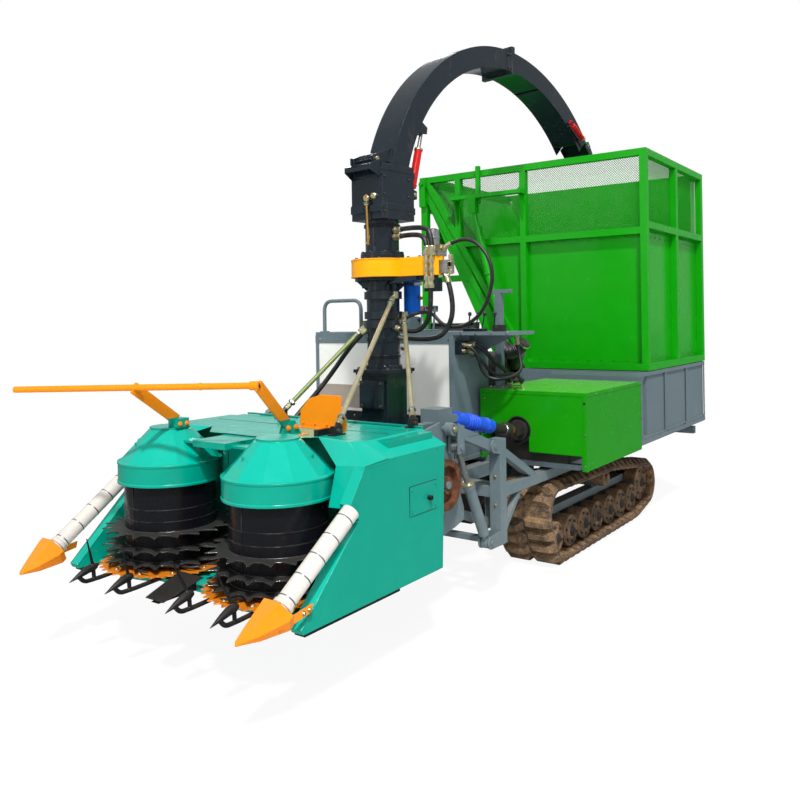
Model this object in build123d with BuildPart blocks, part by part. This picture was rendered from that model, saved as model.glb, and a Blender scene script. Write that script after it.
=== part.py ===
from build123d import *
import os
from math import atan2, cos, degrees, hypot, radians, sin

# Tracked two-row forage harvester, millimetres.
# +X is the machine's left side, the front faces -Y, +Z is up, and the ground is z = 0.

os.makedirs("parts", exist_ok=True)

# ---------------------------------------------------------------- driving dimensions
half_length = 2590.0          # divider tips to the rear tipping bracket, halved
half_width = 980.0            # over the bin and the engine cover, halved

# tracks
track_gauge = 1082.0          # between the middles of the two tracks
track_width = 400.0
belt_thick = 22.0
lug_height = 35.0
lug_pitch = 92.0
sprocket_radius = 133.0
sprocket_y = 92.0
sprocket_z = 352.0
idler_radius = 138.0
idler_y = 1722.0
idler_z = 242.0
roller_radius = 106.0
roller_count = 7
first_roller_y = 152.0
last_roller_y = 1500.0
carrier_radius = 63.0
carrier_y = 1010.0
carrier_z = 402.0
track_clear = 1.5             # running gap between the wheels and the belt

# chassis
rail_x = 255.0                # middle of each long rail
rail_size = 80.0
rail_bottom = 560.0
outer_beam_x = 650.0          # middle of the beams over the tracks
outer_beam_size = 60.0
frame_front_y = -585.0        # front face of the lift posts
frame_rear_y = 2480.0
post_size = 70.0
post_bottom = 300.0
post_top = 894.0

# lift linkage, side view places of the pins as (y, z)
arm_pin = (-640.0, 862.0)     # upper arm on the post
arm_reach = 403.0             # forward run of both pairs of arms
arm_rise = 144.0
lower_pin = (-477.0, 386.0)   # lower arm on the frame
lift_base = (-690.0, 336.0)   # foot of the lift cylinder
lift_eye_back = 57.0          # rod eye behind and below the front pin of the upper arm
lift_eye_drop = 102.0
arm_thick = 46.0
lower_arm_x = 565.0
lower_arm_thick = 34.0
pin_radius = 15.0
pin_clear = 0.4
weld_gap = 0.4                # line between bars that butt together

# header
header_half = 773.0           # outer faces of the side boxes
side_box = 60.0
header_rear_y = -1320.0
header_bottom = 385.0
roof_z = 1035.0
roof_edge_z = 965.0
roof_inset = 140.0            # width of the sloping roof edge
roof_front_y = -1740.0
sheet = 5.0
drum_x = 369.0
drum_y = -2006.0
drum_radius = 217.0
drum_top = 850.0
feed_disc_radius = 318.0
feed_disc_root = 268.0
feed_disc_teeth = 20
feed_disc_levels = (600.0, 525.0, 462.0)
saw_radius = 336.0
saw_teeth = 40
saw_z = 428.0
cap_radius = 245.0
cap_band_bottom = 815.0
cap_band_top = 914.0
cap_top_radius = 96.0
cap_top = 1071.0
floor_z = 390.0
floor_front_y = -2180.0
divider_x = 742.0
notch_top = (-2000.0, 818.0)   # edge of the side box that seats the divider tube
notch_low = (-1945.0, 745.0)
tube_radius = 38.0
cone_radius = 70.0
tip_round = 8.0               # rounding of the divider points
throat_half = 200.0
tongue_half = 110.0
shaft_radius = 20.0
guide_joint_y = -2366.0       # joint of each crop guide, just ahead of the saws
pulley_y = -1120.0
pulley_z = 733.0
pulley_radius = 130.0

# tower, slew drive and spout
tower_y = -747.0
tower_radius = 98.0
duct_size = 190.0
duct_top = 1265.0
housing_bottom = 1823.0
housing_top = 1930.0
head_bottom = 2159.0
head_top = 2480.0
head_width = 250.0
head_front = -125.0           # front and rear walls of the spout head, from the tower axis
head_rear = 150.0
spout_turn = 6.0              # degrees that the parked spout points to the left of straight back
spout_width = 210.0
spout_depth = 140.0
spout_wall = 4.0
spout_base_z = 2385.0
inner_bend = 1282.0           # outer radius of the first bend of the spout
outer_bend = 1420.0           # outer radius of the second bend
bend_centre_z = 2162.0
second_bend_angle = 48.0
tilt_base = (184.0, 2325.0)   # pins of the tilt cylinder, back along the spout and up
tilt_eye = (292.0, 2733.0)
tilt_offset = 70.0            # to the left of the middle of the spout
flap_pin = (2297.0, 2990.0)
flap_length = 176.0
flap_base = (2000.0, 3075.0)  # foot of the flap cylinder on the side of the spout
flap_offset = 134.0

# bin
bin_front_y = 1061.0
bin_bottom = 1181.0
bin_top = 2770.0
bin_rail = 50.0
bin_mid_z = 2185.0
floor_edge_x = 5.0            # right edge of the floor, where the slanting wall starts
rear_gear_depth = 96.0        # bracket beam and cylinder behind the bin
tip_pin_x = -935.0
tip_pin_z = 2712.0
tip_base = (-76.0, 1140.0)    # foot of the tipping cylinder, (x, z)
tip_eye = (-407.0, 2450.0)    # its rod eye on the bin
tip_cylinder_out = 62.0       # middle of the cylinder outside the end frame

# engine cover, lower box and operator's place
cover_inner_x = 255.0
cover_front_y = -63.0
cover_rear_y = 893.0
cover_bottom = 651.0
cover_top = 1118.0
cover_sheet = 3.0
box_bottom = 673.0
box_top = 1176.0
deck_z = 700.0
console_y = -330.0
console_top = 1475.0
pto_y = -63.0
pto_x = 525.0
pto_z = 871.0
pto_pivot_y = -130.0          # joint of the shaft behind its flange
gear_x = 480.0                # gearbox of the header, where the shaft ends
gear_joint_y = -790.0
gear_z = 1028.0

# ---------------------------------------------------------------- derived places
bin_rear_y = half_length - rear_gear_depth
bin_length = bin_rear_y - bin_front_y
rail_top = rail_bottom + rail_size
header_pin = (arm_pin[0] - arm_reach, arm_pin[1] + arm_rise)
header_low_pin = (lower_pin[0] - arm_reach, lower_pin[1] + arm_rise)
lift_eye = (header_pin[0] + lift_eye_back, header_pin[1] - lift_eye_drop)
post_y = frame_front_y + post_size / 2
track_x = track_gauge / 2
spout_hinge = (head_front - 14, head_top + 22)


# ---------------------------------------------------------------- shared shapes
def side_plane(offset=0.0):
    """The plane of the parked spout: local x runs back along it and local y is up."""
    turn = radians(spout_turn)
    return Plane(
        origin=(offset * cos(turn), tower_y - offset * sin(turn), 0),
        x_dir=(sin(turn), cos(turn), 0),
        z_dir=(cos(turn), -sin(turn), 0),
    )


def spout_point(s, z, offset=0.0):
    """A point given back along the spout, up, and sideways from its middle plane."""
    return side_plane(offset).from_local_coords((s, z, 0))


def slab(points, plane, thick):
    """A straight-sided plate, its middle on the plane."""
    with BuildPart() as made:
        with BuildSketch(plane):
            with BuildLine():
                Polyline(*points, close=True)
            make_face()
        extrude(amount=thick / 2, both=True)
    return made.part


def rod(start, end, radius, bore=0.0):
    """A round bar, or a tube, between two points."""
    start, end = Vector(*start), Vector(*end)
    with BuildPart() as made:
        with BuildSketch(Plane(origin=start, z_dir=end - start)):
            Circle(radius)
            if bore:
                Circle(bore, mode=Mode.SUBTRACT)
        extrude(amount=(end - start).length)
    return made.part


def bar(start, end, wide, high, across=(1, 0, 0)):
    """A rectangular bar between two points; its width lies along across."""
    start, end = Vector(*start), Vector(*end)
    with BuildPart() as made:
        with BuildSketch(Plane(origin=start, x_dir=across, z_dir=end - start)):
            Rectangle(wide, high)
        extrude(amount=(end - start).length)
    return made.part


def block(x, y, z):
    """A box given by its low and high ends on each axis."""
    with BuildPart(Plane(origin=(sum(x) / 2, sum(y) / 2, sum(z) / 2))) as made:
        Box(x[1] - x[0], y[1] - y[0], z[1] - z[0])
    return made.part


# ---------------------------------------------------------------- tracks
with BuildSketch(Plane.YZ) as belt_outline:
    for wheel_y, wheel_z, wheel_radius in (
        (sprocket_y, sprocket_z, sprocket_radius + belt_thick),
        (carrier_y, carrier_z, carrier_radius + track_clear + belt_thick),
        (idler_y, idler_z, idler_radius + belt_thick),
        (first_roller_y, lug_height + belt_thick + roller_radius, roller_radius + belt_thick),
        (last_roller_y, lug_height + belt_thick + roller_radius, roller_radius + belt_thick),
    ):
        with Locations((wheel_y, wheel_z)):
            Circle(wheel_radius)
    make_hull()
belt_face = belt_outline.sketch_local.face()
belt_wire = belt_face.outer_wire()
lug_count = round(belt_wire.length / lug_pitch)

for side_name, side in (("left", 1), ("right", -1)):
    with BuildPart() as track:
        with BuildSketch(Plane.YZ.offset(side * track_x)):
            add(belt_face)
            for lug in range(lug_count):
                spot = belt_wire.position_at((lug + 0.5) / lug_count)
                along = belt_wire.tangent_at((lug + 0.5) / lug_count)
                turn = degrees(atan2(along.Y, along.X))
                with Locations(Location((spot.X, spot.Y, 0), (0, 0, turn))):
                    Trapezoid(48, 2 * lug_height, 80)
            with BuildSketch(mode=Mode.PRIVATE) as loop_inside:
                add(belt_face)
                offset(amount=-belt_thick - track_clear / 2, mode=Mode.REPLACE)
            add(loop_inside.sketch, mode=Mode.SUBTRACT)
        extrude(amount=track_width / 2, both=True)
    track.part.label = "track_" + side_name
    export_step(track.part, "parts/track_" + side_name + ".step")

# the wheels inside each loop: sprocket, idler, carrier and the paired bottom rollers
roller_z = lug_height + belt_thick + roller_radius
roller_step = (last_roller_y - first_roller_y) / (roller_count - 1)
hanger_thick = 56.0
axle_radius = 26.0
roller_gap = 6.0              # between a roller and its hanger
roller_face = 96.0            # width of each roller tread
with BuildPart() as track_wheels:
    for side in (1, -1):
        for wheel_y, wheel_z, wheel_radius in [
            (first_roller_y + step * roller_step, roller_z, roller_radius)
            for step in range(roller_count)
        ] + [(carrier_y, carrier_z, carrier_radius), (idler_y, idler_z, idler_radius - track_clear)]:
            inner = hanger_thick / 2 + roller_gap
            for end in (1, -1):
                with BuildSketch(Plane.YZ.offset(side * track_x + end * inner)):
                    with Locations((wheel_y, wheel_z)):
                        Circle(wheel_radius - track_clear)
                extrude(amount=end * roller_face)
            with BuildSketch(Plane.YZ.offset(side * track_x)):
                with Locations((wheel_y, wheel_z)):
                    Circle(axle_radius)
            extrude(amount=inner + roller_face + 16, both=True)
        with BuildSketch(Plane.YZ.offset(side * track_x)):
            with Locations((sprocket_y, sprocket_z)):
                Circle(sprocket_radius - 14)
                with PolarLocations(sprocket_radius - 14, 9):
                    Rectangle(22, 30)
        extrude(amount=30, both=True)
        with BuildSketch(Plane.YZ.offset(side * track_x)):
            with Locations((sprocket_y, sprocket_z)):
                Circle(58)
        extrude(amount=70, both=True)
track_wheels.part.label = "track_wheels"
export_step(track_wheels.part, "parts/track_wheels.step")

# ---------------------------------------------------------------- chassis
beam_z = rail_bottom + outer_beam_size / 2
track_beam_wide = hanger_thick + 30
with BuildPart() as chassis_frame:
    for side in (1, -1):
        rail = side * rail_x
        outer = side * outer_beam_x
        add(block((rail - rail_size / 2, rail + rail_size / 2), (frame_front_y + 60, frame_rear_y),
                  (rail_bottom, rail_top)))
        add(bar((outer, post_y, beam_z), (outer, cover_rear_y + 60, beam_z), outer_beam_size, outer_beam_size))
        add(block((outer - post_size / 2, outer + post_size / 2), (frame_front_y, frame_front_y + post_size),
                  (post_bottom, post_top)))
        # raking brace behind the post, and the strut from its foot up to the beam
        brace_run = {1: 420.0, -1: 130.0}[side]   # the deck leaves less room on the right
        add(bar((outer, post_y, post_top - 60), (outer, post_y + brace_run, beam_z + 20), 50, 44))
        add(bar((outer, post_y + 10, post_bottom + 40), (outer, post_y + 240, rail_bottom + 12), 44, 30))
        # lug for the upper arm and the foot bracket of the lift cylinder
        for cheek in (1, -1):
            lug_x = outer + cheek * (arm_thick / 2 + 7)
            with BuildSketch(Plane.YZ.offset(lug_x)):
                with Locations((arm_pin[0], arm_pin[1])):
                    Circle(38)
                with BuildLine():
                    Polyline((arm_pin[0], arm_pin[1] - 38), (frame_front_y + 6, arm_pin[1] - 52),
                             (frame_front_y + 6, arm_pin[1] + 30), (arm_pin[0], arm_pin[1] + 38), close=True)
                make_face()
            extrude(amount=5, both=True)
            with BuildSketch(Plane.YZ.offset(lug_x)):
                with Locations((lift_base[0], lift_base[1])):
                    Circle(34)
                with BuildLine():
                    Polyline((lift_base[0], lift_base[1] - 34), (frame_front_y + 6, post_bottom),
                             (frame_front_y + 6, post_bottom + 80), (lift_base[0], lift_base[1] + 34), close=True)
                make_face()
            extrude(amount=5, both=True)
        for pin in (arm_pin, lift_base):
            reach = arm_thick / 2 + 20
            add(rod((outer - reach, pin[0], pin[1]), (outer + reach, pin[0], pin[1]), pin_radius))
        # lug plates that carry the pin of the lower arm, behind the post
        for cheek in (1, -1):
            lug_x = side * (lower_arm_x + cheek * (lower_arm_thick / 2 + 6))
            add(slab(((lower_pin[0] - 34, lower_pin[1] - 34), (lower_pin[0] + 34, lower_pin[1] - 34),
                      (lower_pin[0] + 34, rail_bottom + 10), (lower_pin[0] - 34, rail_bottom + 10)),
                     Plane.YZ.offset(lug_x), 8))
        reach = lower_arm_thick / 2 + 10
        centre = side * lower_arm_x
        add(rod((centre - reach, lower_pin[0], lower_pin[1]), (centre + reach, lower_pin[0], lower_pin[1]),
                pin_radius))
        # hangers down to the track beams
        for hanger_y in (430.0, 1330.0):
            add(block((min(rail, rail + side * 70), max(rail, rail + side * 70)), (hanger_y - 45, hanger_y + 45),
                      (rail_bottom - 70, rail_bottom - weld_gap)))
            add(block((min(rail - side * 20, rail + side * 60), max(rail - side * 20, rail + side * 60)),
                      (hanger_y - 45, hanger_y + 45), (270, rail_bottom - weld_gap)))
            beam_face = side * (track_x - track_beam_wide / 2)
            add(block((min(rail, beam_face), max(rail, beam_face)), (hanger_y - 40, hanger_y + 40),
                      (270, 330)))
    # cross members, the front one carrying the lower arm lugs
    for cross_y, wide in ((post_y, 2 * outer_beam_x), (lower_pin[0] + 10, 2 * outer_beam_x),
                          (250.0, 2 * rail_x + rail_size),
                          (cover_rear_y + 30, 2 * outer_beam_x), (bin_front_y + 330, 1000.0),
                          (frame_rear_y - 40, 2 * half_width - 160)):
        add(block((-wide / 2, wide / 2), (cross_y - 30, cross_y + 30), (rail_bottom, rail_bottom + 60)))
    add(bar((-outer_beam_x, post_y, post_bottom + 8), (outer_beam_x, post_y, post_bottom + 8), 40, 32,
            across=(0, 1, 0)))
    # outrigger beams under the lower box and the engine cover
    for out_y in (cover_front_y + 100, cover_rear_y - 30, bin_front_y + 330, frame_rear_y - 40):
        add(block((-half_width + 80, half_width - 80), (out_y - 25, out_y + 25), (rail_top + weld_gap, box_bottom)))
    # rear tow bracket
    add(block((-70, 70), (frame_rear_y - 40, frame_rear_y + 26), (rail_bottom - 60, rail_bottom + 60)))
    with BuildSketch(Plane.XY.offset(rail_bottom - 60)):
        with Locations((0, frame_rear_y + 25)):
            RectangleRounded(110, 100, 20)
    extrude(amount=22)
    with BuildSketch(Plane.XY.offset(rail_bottom - 70)):
        with Locations((0, frame_rear_y + 50)):
            Circle(14)
    extrude(amount=60, mode=Mode.SUBTRACT)
    # the bars butt against each other along these upright lines
    for face_x in (rail_x - rail_size / 2 - weld_gap, rail_x + rail_size / 2):
        for side in (1, -1):
            add(block(sorted((side * face_x, side * (face_x + weld_gap))), (frame_front_y, frame_rear_y),
                      (rail_bottom, rail_bottom + 60)), mode=Mode.SUBTRACT)
    post_face = outer_beam_x - post_size / 2
    for side in (1, -1):
        add(block(sorted((side * (post_face - weld_gap), side * post_face)), (frame_front_y - 1, frame_rear_y),
                  (post_bottom - 20, rail_bottom + 61)), mode=Mode.SUBTRACT)
chassis_frame.part.label = "chassis_frame"
export_step(chassis_frame.part, "parts/chassis_frame.step")

with BuildPart() as track_beams:
    for side in (1, -1):
        centre = side * track_x
        add(bar((centre, sprocket_y + 150, 303), (centre, idler_y - idler_radius - 20, 303), track_beam_wide, 52))
        for step in range(roller_count):
            hanger_y = first_roller_y + step * roller_step
            if hanger_y > sprocket_y + 180:
                add(block((centre - hanger_thick / 2, centre + hanger_thick / 2), (hanger_y - 34, hanger_y + 34),
                          (roller_z - 40, 300)))
        add(block((centre - hanger_thick / 2, centre + hanger_thick / 2), (carrier_y - 26, carrier_y + 26),
                  (300, carrier_z + 36)))
        add(bar((centre, sprocket_y + 160, 300), (centre, first_roller_y, roller_z), hanger_thick, 40))
        add(bar((centre, idler_y - idler_radius - 40, 300), (centre, idler_y, idler_z), hanger_thick, 48))
        for step in range(roller_count):
            with BuildSketch(Plane.YZ.offset(centre - 60)):
                with Locations((first_roller_y + step * roller_step, roller_z)):
                    Circle(axle_radius + 0.3)
            extrude(amount=120, mode=Mode.SUBTRACT)
        for hole_y, hole_z, hole in ((carrier_y, carrier_z, axle_radius + 0.3),
                                     (idler_y, idler_z, axle_radius + 0.3)):
            with BuildSketch(Plane.YZ.offset(centre - 60)):
                with Locations((hole_y, hole_z)):
                    Circle(hole)
            extrude(amount=120, mode=Mode.SUBTRACT)
track_beams.part.label = "track_beams"
export_step(track_beams.part, "parts/track_beams.step")

with BuildPart() as drive_axle:
    inner_face = track_x - 70.5
    for side in (1, -1):
        with BuildSketch(Plane.YZ.offset(side * inner_face)):
            with Locations((sprocket_y, sprocket_z)):
                Circle(78)
        with BuildSketch(Plane.YZ.offset(side * 300)):
            with Locations((sprocket_y, sprocket_z)):
                Circle(98)
        loft()
    add(rod((-310, sprocket_y, sprocket_z), (310, sprocket_y, sprocket_z), 62))
    add(block((-150, 150), (sprocket_y - 120, sprocket_y + 180), (sprocket_z - 130, rail_bottom)))
    add(block((-rail_x + rail_size / 2, rail_x - rail_size / 2), (sprocket_y - 60, sprocket_y + 60),
              (rail_bottom - 20, rail_bottom + 50)))
drive_axle.part.label = "drive_axle"
export_step(drive_axle.part, "parts/drive_axle.step")

with BuildPart() as engine_block:
    add(block((cover_inner_x + 60, half_width - 160), (cover_front_y + 80, cover_rear_y - 40),
              (box_bottom, cover_top - 90)))
    add(rod((pto_x, pto_y + 8, pto_z), (pto_x, cover_front_y + 190, pto_z), 42))
    with BuildSketch(Plane.XZ.offset(-(pto_y + 10))):
        with Locations((pto_x, pto_z)):
            Circle(66)
    extrude(amount=12)
    for cheek in (1, -1):
        add(block((min(pto_x + cheek * 32, pto_x + cheek * 42), max(pto_x + cheek * 32, pto_x + cheek * 42)),
                  (pto_pivot_y - 22, pto_y), (pto_z - 22, pto_z + 22)))
engine_block.part.label = "engine_block"
export_step(engine_block.part, "parts/engine_block.step")

with BuildPart() as engine_cover:
    add(block((cover_inner_x, half_width - 1), (cover_front_y, cover_rear_y), (cover_bottom, cover_top)))
    add(block((cover_inner_x + cover_sheet, half_width - 1 - cover_sheet),
              (cover_front_y + cover_sheet, cover_rear_y + 1), (cover_bottom - 1, cover_top - cover_sheet)),
        mode=Mode.SUBTRACT)
    add(block((cover_inner_x - 1, cover_inner_x + 2 * cover_sheet), (cover_front_y - 1, cover_rear_y + 2),
              (cover_bottom - 1, box_bottom)), mode=Mode.SUBTRACT)
    # the front panel stops above the beam, and its lower inner corner is open round the shaft
    add(block((cover_inner_x - 1, half_width - 30), (cover_front_y - 1, cover_front_y + 5),
              (cover_bottom - 1, cover_bottom + 90)), mode=Mode.SUBTRACT)
    add(block((cover_inner_x - 1, pto_x + 76), (cover_front_y - 1, cover_front_y + 5),
              (cover_bottom - 1, pto_z)), mode=Mode.SUBTRACT)
    with BuildSketch(Plane.XZ.offset(-(cover_front_y + 5))):
        with Locations((pto_x, pto_z)):
            Circle(76)
    extrude(amount=8, mode=Mode.SUBTRACT)
engine_cover.part.label = "engine_cover"
export_step(engine_cover.part, "parts/engine_cover.step")

with BuildPart() as lower_box:
    add(block((-half_width, half_width - 8), (cover_rear_y + 4, bin_rear_y - 6), (box_bottom, box_bottom + 50)))
    add(block((-half_width + 30, half_width - 16), (bin_front_y - 10, bin_rear_y - 20),
              (box_bottom + 40, box_top)))
    add(block((-half_width + 10, half_width - 8), (bin_front_y, bin_rear_y - 6), (box_top - 30, box_top)))
    for slot_y in (bin_front_y + 420, bin_front_y + 860):
        add(block((half_width - 30, half_width), (slot_y - 30, slot_y + 30), (box_bottom + 12, box_bottom + 38)),
            mode=Mode.SUBTRACT)
    add(block((-half_width + 38, half_width - 24), (bin_front_y - 2, bin_rear_y - 28),
              (box_bottom + 48, box_top - 8)), mode=Mode.SUBTRACT)
lower_box.part.label = "lower_box"
export_step(lower_box.part, "parts/lower_box.step")

# ---------------------------------------------------------------- operator's place
with BuildPart() as deck:
    add(block((-half_width + 20, cover_inner_x - 20), (console_y - 30, cover_rear_y), (deck_z - 26, deck_z)))
    for bearer_y in (console_y + 60, 420.0):
        add(block((-half_width + 60, cover_inner_x - 60), (bearer_y - 20, bearer_y + 20), (rail_top, deck_z - 20)))
deck.part.label = "deck"
export_step(deck.part, "parts/deck.step")

with BuildPart() as console:
    panel = 6.0
    right = -half_width + 60
    left = cover_inner_x - 30
    table_x = 630.0           # the table reaches out over the engine cover
    add(block((right, left), (console_y, console_y + panel), (deck_z, console_top)))
    add(block((left - panel, left), (console_y, console_y + 430), (deck_z, console_top)))
    add(block((right, table_x), (console_y, console_y + 300), (console_top - 4, console_top + 18)))
    add(slab(((left - 4, console_top - 160), (left - 4, console_top), (table_x - 60, console_top)),
             Plane.XZ.offset(-(console_y + 200)), 8))
    add(block((right, right + panel), (console_y, console_y + 430), (deck_z, console_top)))
console.part.label = "console"
export_step(console.part, "parts/console.step")

dash_bottom = console_top + 18
with BuildPart() as control_panel:
    dash = ((console_y + 40, dash_bottom + 10), (console_y + 230, dash_bottom + 10),
            (console_y + 160, dash_bottom + 92), (console_y + 70, dash_bottom + 112))
    add(slab(dash, Plane.YZ.offset(-300), 300))
    add(block((-450, 10), (console_y + 40, console_y + 230), (dash_bottom, dash_bottom + 12)))
    for lever_x in (-110.0, -60.0, -10.0):
        add(rod((lever_x, console_y + 130, dash_bottom + 6), (lever_x, console_y + 150, dash_bottom + 132), 7))
        add(block((lever_x - 16, lever_x + 16), (console_y + 134, console_y + 166),
                  (dash_bottom + 128, dash_bottom + 168)))
control_panel.part.label = "control_panel"
export_step(control_panel.part, "parts/control_panel.step")

seat_x = -440.0
with BuildPart() as seat_base:
    add(block((seat_x - 170, seat_x + 170), (420, 760), (deck_z, deck_z + 60)))
    add(rod((seat_x, 590, deck_z + 50), (seat_x, 590, deck_z + 400), 40))
    add(block((seat_x - 190, seat_x + 190), (410, 800), (deck_z + 390, deck_z + 410)))
    add(block((seat_x - 60, seat_x + 60), (790, 806), (deck_z + 390, deck_z + 700)))
seat_base.part.label = "seat_base"
export_step(seat_base.part, "parts/seat_base.step")

with BuildPart() as seat_cushion:
    add(block((seat_x - 225, seat_x + 225), (385, 770), (deck_z + 410.4, deck_z + 500)))
    fillet(seat_cushion.edges().filter_by(Axis.Z), 40)
seat_cushion.part.label = "seat_cushion"
export_step(seat_cushion.part, "parts/seat_cushion.step")

with BuildPart() as seat_back:
    add(block((seat_x - 215, seat_x + 215), (700, 789.6), (deck_z + 505, deck_z + 850)))
    fillet(seat_back.edges().filter_by(Axis.Y), 50)
seat_back.part.label = "seat_back"
export_step(seat_back.part, "parts/seat_back.step")

with BuildPart() as guard_rails:
    rail_line = [(-half_width + 110, console_y + 40, dash_bottom),
                 (-half_width + 110, console_y + 40, console_top + 235),
                 (-540, console_y + 40, console_top + 235)]
    add(rod(rail_line[0], rail_line[1], 13))
    add(rod(rail_line[1], rail_line[2], 13))
    add(rod(rail_line[2], (-540, console_y + 40, dash_bottom), 13))
    for corner in rail_line[1:]:
        with Locations(corner):
            Sphere(13)
guard_rails.part.label = "guard_rails"
export_step(guard_rails.part, "parts/guard_rails.step")

stand_x = 330.0
stand_y = 70.0
stand_top = 1760.0
with BuildPart() as light_stand:
    add(block((stand_x - 60, stand_x + 60), (stand_y - 60, stand_y + 60), (cover_top, cover_top + 8)))
    add(block((stand_x - 22, stand_x + 22), (stand_y - 22, stand_y + 22), (cover_top + 4, stand_top - 20)))
    add(block((stand_x - 70, stand_x + 90), (stand_y - 18, stand_y + 18), (stand_top - 24, stand_top)))
light_stand.part.label = "light_stand"
export_step(light_stand.part, "parts/light_stand.step")

with BuildPart() as air_intake:
    with Locations(Location((60, 480, 1240), (0, 90, 0))):
        Cylinder(95, 300)
    add(block((-40, 160), (430, 530), (deck_z, 1160)))
    add(rod((205, 480, 1240), (300, 400, 1330), 42))
air_intake.part.label = "air_intake"
export_step(air_intake.part, "parts/air_intake.step")

# ---------------------------------------------------------------- lift linkage
with BuildPart() as upper_arms:
    for side in (1, -1):
        outer = side * outer_beam_x
        add(bar((outer, arm_pin[0], arm_pin[1]), (outer, header_pin[0], header_pin[1]), arm_thick - 6, 58))
        for pin in (arm_pin, header_pin):
            add(rod((outer - arm_thick / 2 + 1, pin[0], pin[1]), (outer + arm_thick / 2 - 1, pin[0], pin[1]), 33))
        for cheek in (1, -1):
            cheek_x = outer + cheek * (arm_thick / 2 + 4)
            with BuildSketch(Plane.YZ.offset(cheek_x)):
                with BuildLine():
                    Polyline((lift_eye[0] - 32, lift_eye[1] - 30), (lift_eye[0] + 32, lift_eye[1] - 30),
                             (lift_eye[0] + 32, lift_eye[1] + 110), (lift_eye[0] - 32, lift_eye[1] + 130), close=True)
                make_face()
            extrude(amount=4, both=True)
            add(rod((cheek_x, lift_eye[0], lift_eye[1]), (cheek_x + cheek * 12, lift_eye[0], lift_eye[1]), pin_radius))
        add(block((outer - arm_thick / 2 - 4, outer + arm_thick / 2 + 4), (lift_eye[0] - 28, lift_eye[0] + 28),
                  (lift_eye[1] + 70, lift_eye[1] + 108)))
        with BuildSketch(Plane.YZ.offset(outer - 60)):
            with Locations(arm_pin, header_pin):
                Circle(pin_radius + pin_clear)
        extrude(amount=120, mode=Mode.SUBTRACT)
upper_arms.part.label = "upper_arms"
export_step(upper_arms.part, "parts/upper_arms.step")

with BuildPart() as lower_arms:
    for side in (1, -1):
        centre = side * lower_arm_x
        add(bar((centre, lower_pin[0], lower_pin[1]), (centre, header_low_pin[0], header_low_pin[1]),
                lower_arm_thick - 4, 50))
        for pin in (lower_pin, header_low_pin):
            add(rod((centre - lower_arm_thick / 2 + 1, pin[0], pin[1]),
                    (centre + lower_arm_thick / 2 - 1, pin[0], pin[1]), 30))
        with BuildSketch(Plane.YZ.offset(centre - 60)):
            with Locations(lower_pin, header_low_pin):
                Circle(pin_radius + pin_clear)
        extrude(amount=120, mode=Mode.SUBTRACT)
lower_arms.part.label = "lower_arms"
export_step(lower_arms.part, "parts/lower_arms.step")

# lift cylinders: barrels pinned at the foot, rods sliding out to the arms
lift_run = Vector(lift_eye[0] - lift_base[0], lift_eye[1] - lift_base[1])
lift_length = lift_run.length
lift_dir = lift_run / lift_length
lift_barrel = 405.0
cylinder_clear = 0.5


def along_lift(distance):
    return (lift_base[0] + lift_dir.X * distance, lift_base[1] + lift_dir.Y * distance)


with BuildPart() as lift_cylinders:
    for side in (1, -1):
        outer = side * outer_beam_x
        add(rod((outer, *along_lift(20)), (outer, *along_lift(70)), 18))
        add(rod((outer, *along_lift(62)), (outer, *along_lift(lift_barrel)), 30))
        add(rod((outer, *along_lift(lift_barrel - 26)), (outer, *along_lift(lift_barrel)), 34))
        add(rod((outer - 20, *lift_base), (outer + 20, *lift_base), 31))
        add(rod((outer, *along_lift(80)), (outer, *along_lift(lift_barrel + 1)), 18 + cylinder_clear),
            mode=Mode.SUBTRACT)
        with BuildSketch(Plane.YZ.offset(outer - 60)):
            with Locations(lift_base):
                Circle(pin_radius + pin_clear)
        extrude(amount=120, mode=Mode.SUBTRACT)
lift_cylinders.part.label = "lift_cylinders"
export_step(lift_cylinders.part, "parts/lift_cylinders.step")

with BuildPart() as lift_rods:
    for side in (1, -1):
        outer = side * outer_beam_x
        add(rod((outer, *along_lift(lift_length - 340)), (outer, *along_lift(lift_length - 30)), 18))
        add(rod((outer - 18, *lift_eye), (outer + 18, *lift_eye), 34))
        with BuildSketch(Plane.YZ.offset(outer - 60)):
            with Locations(lift_eye):
                Circle(17)
        extrude(amount=120, mode=Mode.SUBTRACT)
lift_rods.part.label = "lift_rods"
export_step(lift_rods.part, "parts/lift_rods.step")

# ---------------------------------------------------------------- header
side_face = header_half - side_box
housing_front = drum_y + saw_radius + 12
housing_rear = header_rear_y + 15
frame_plate_x = 600.0
frame_plate = 12.0

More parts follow.
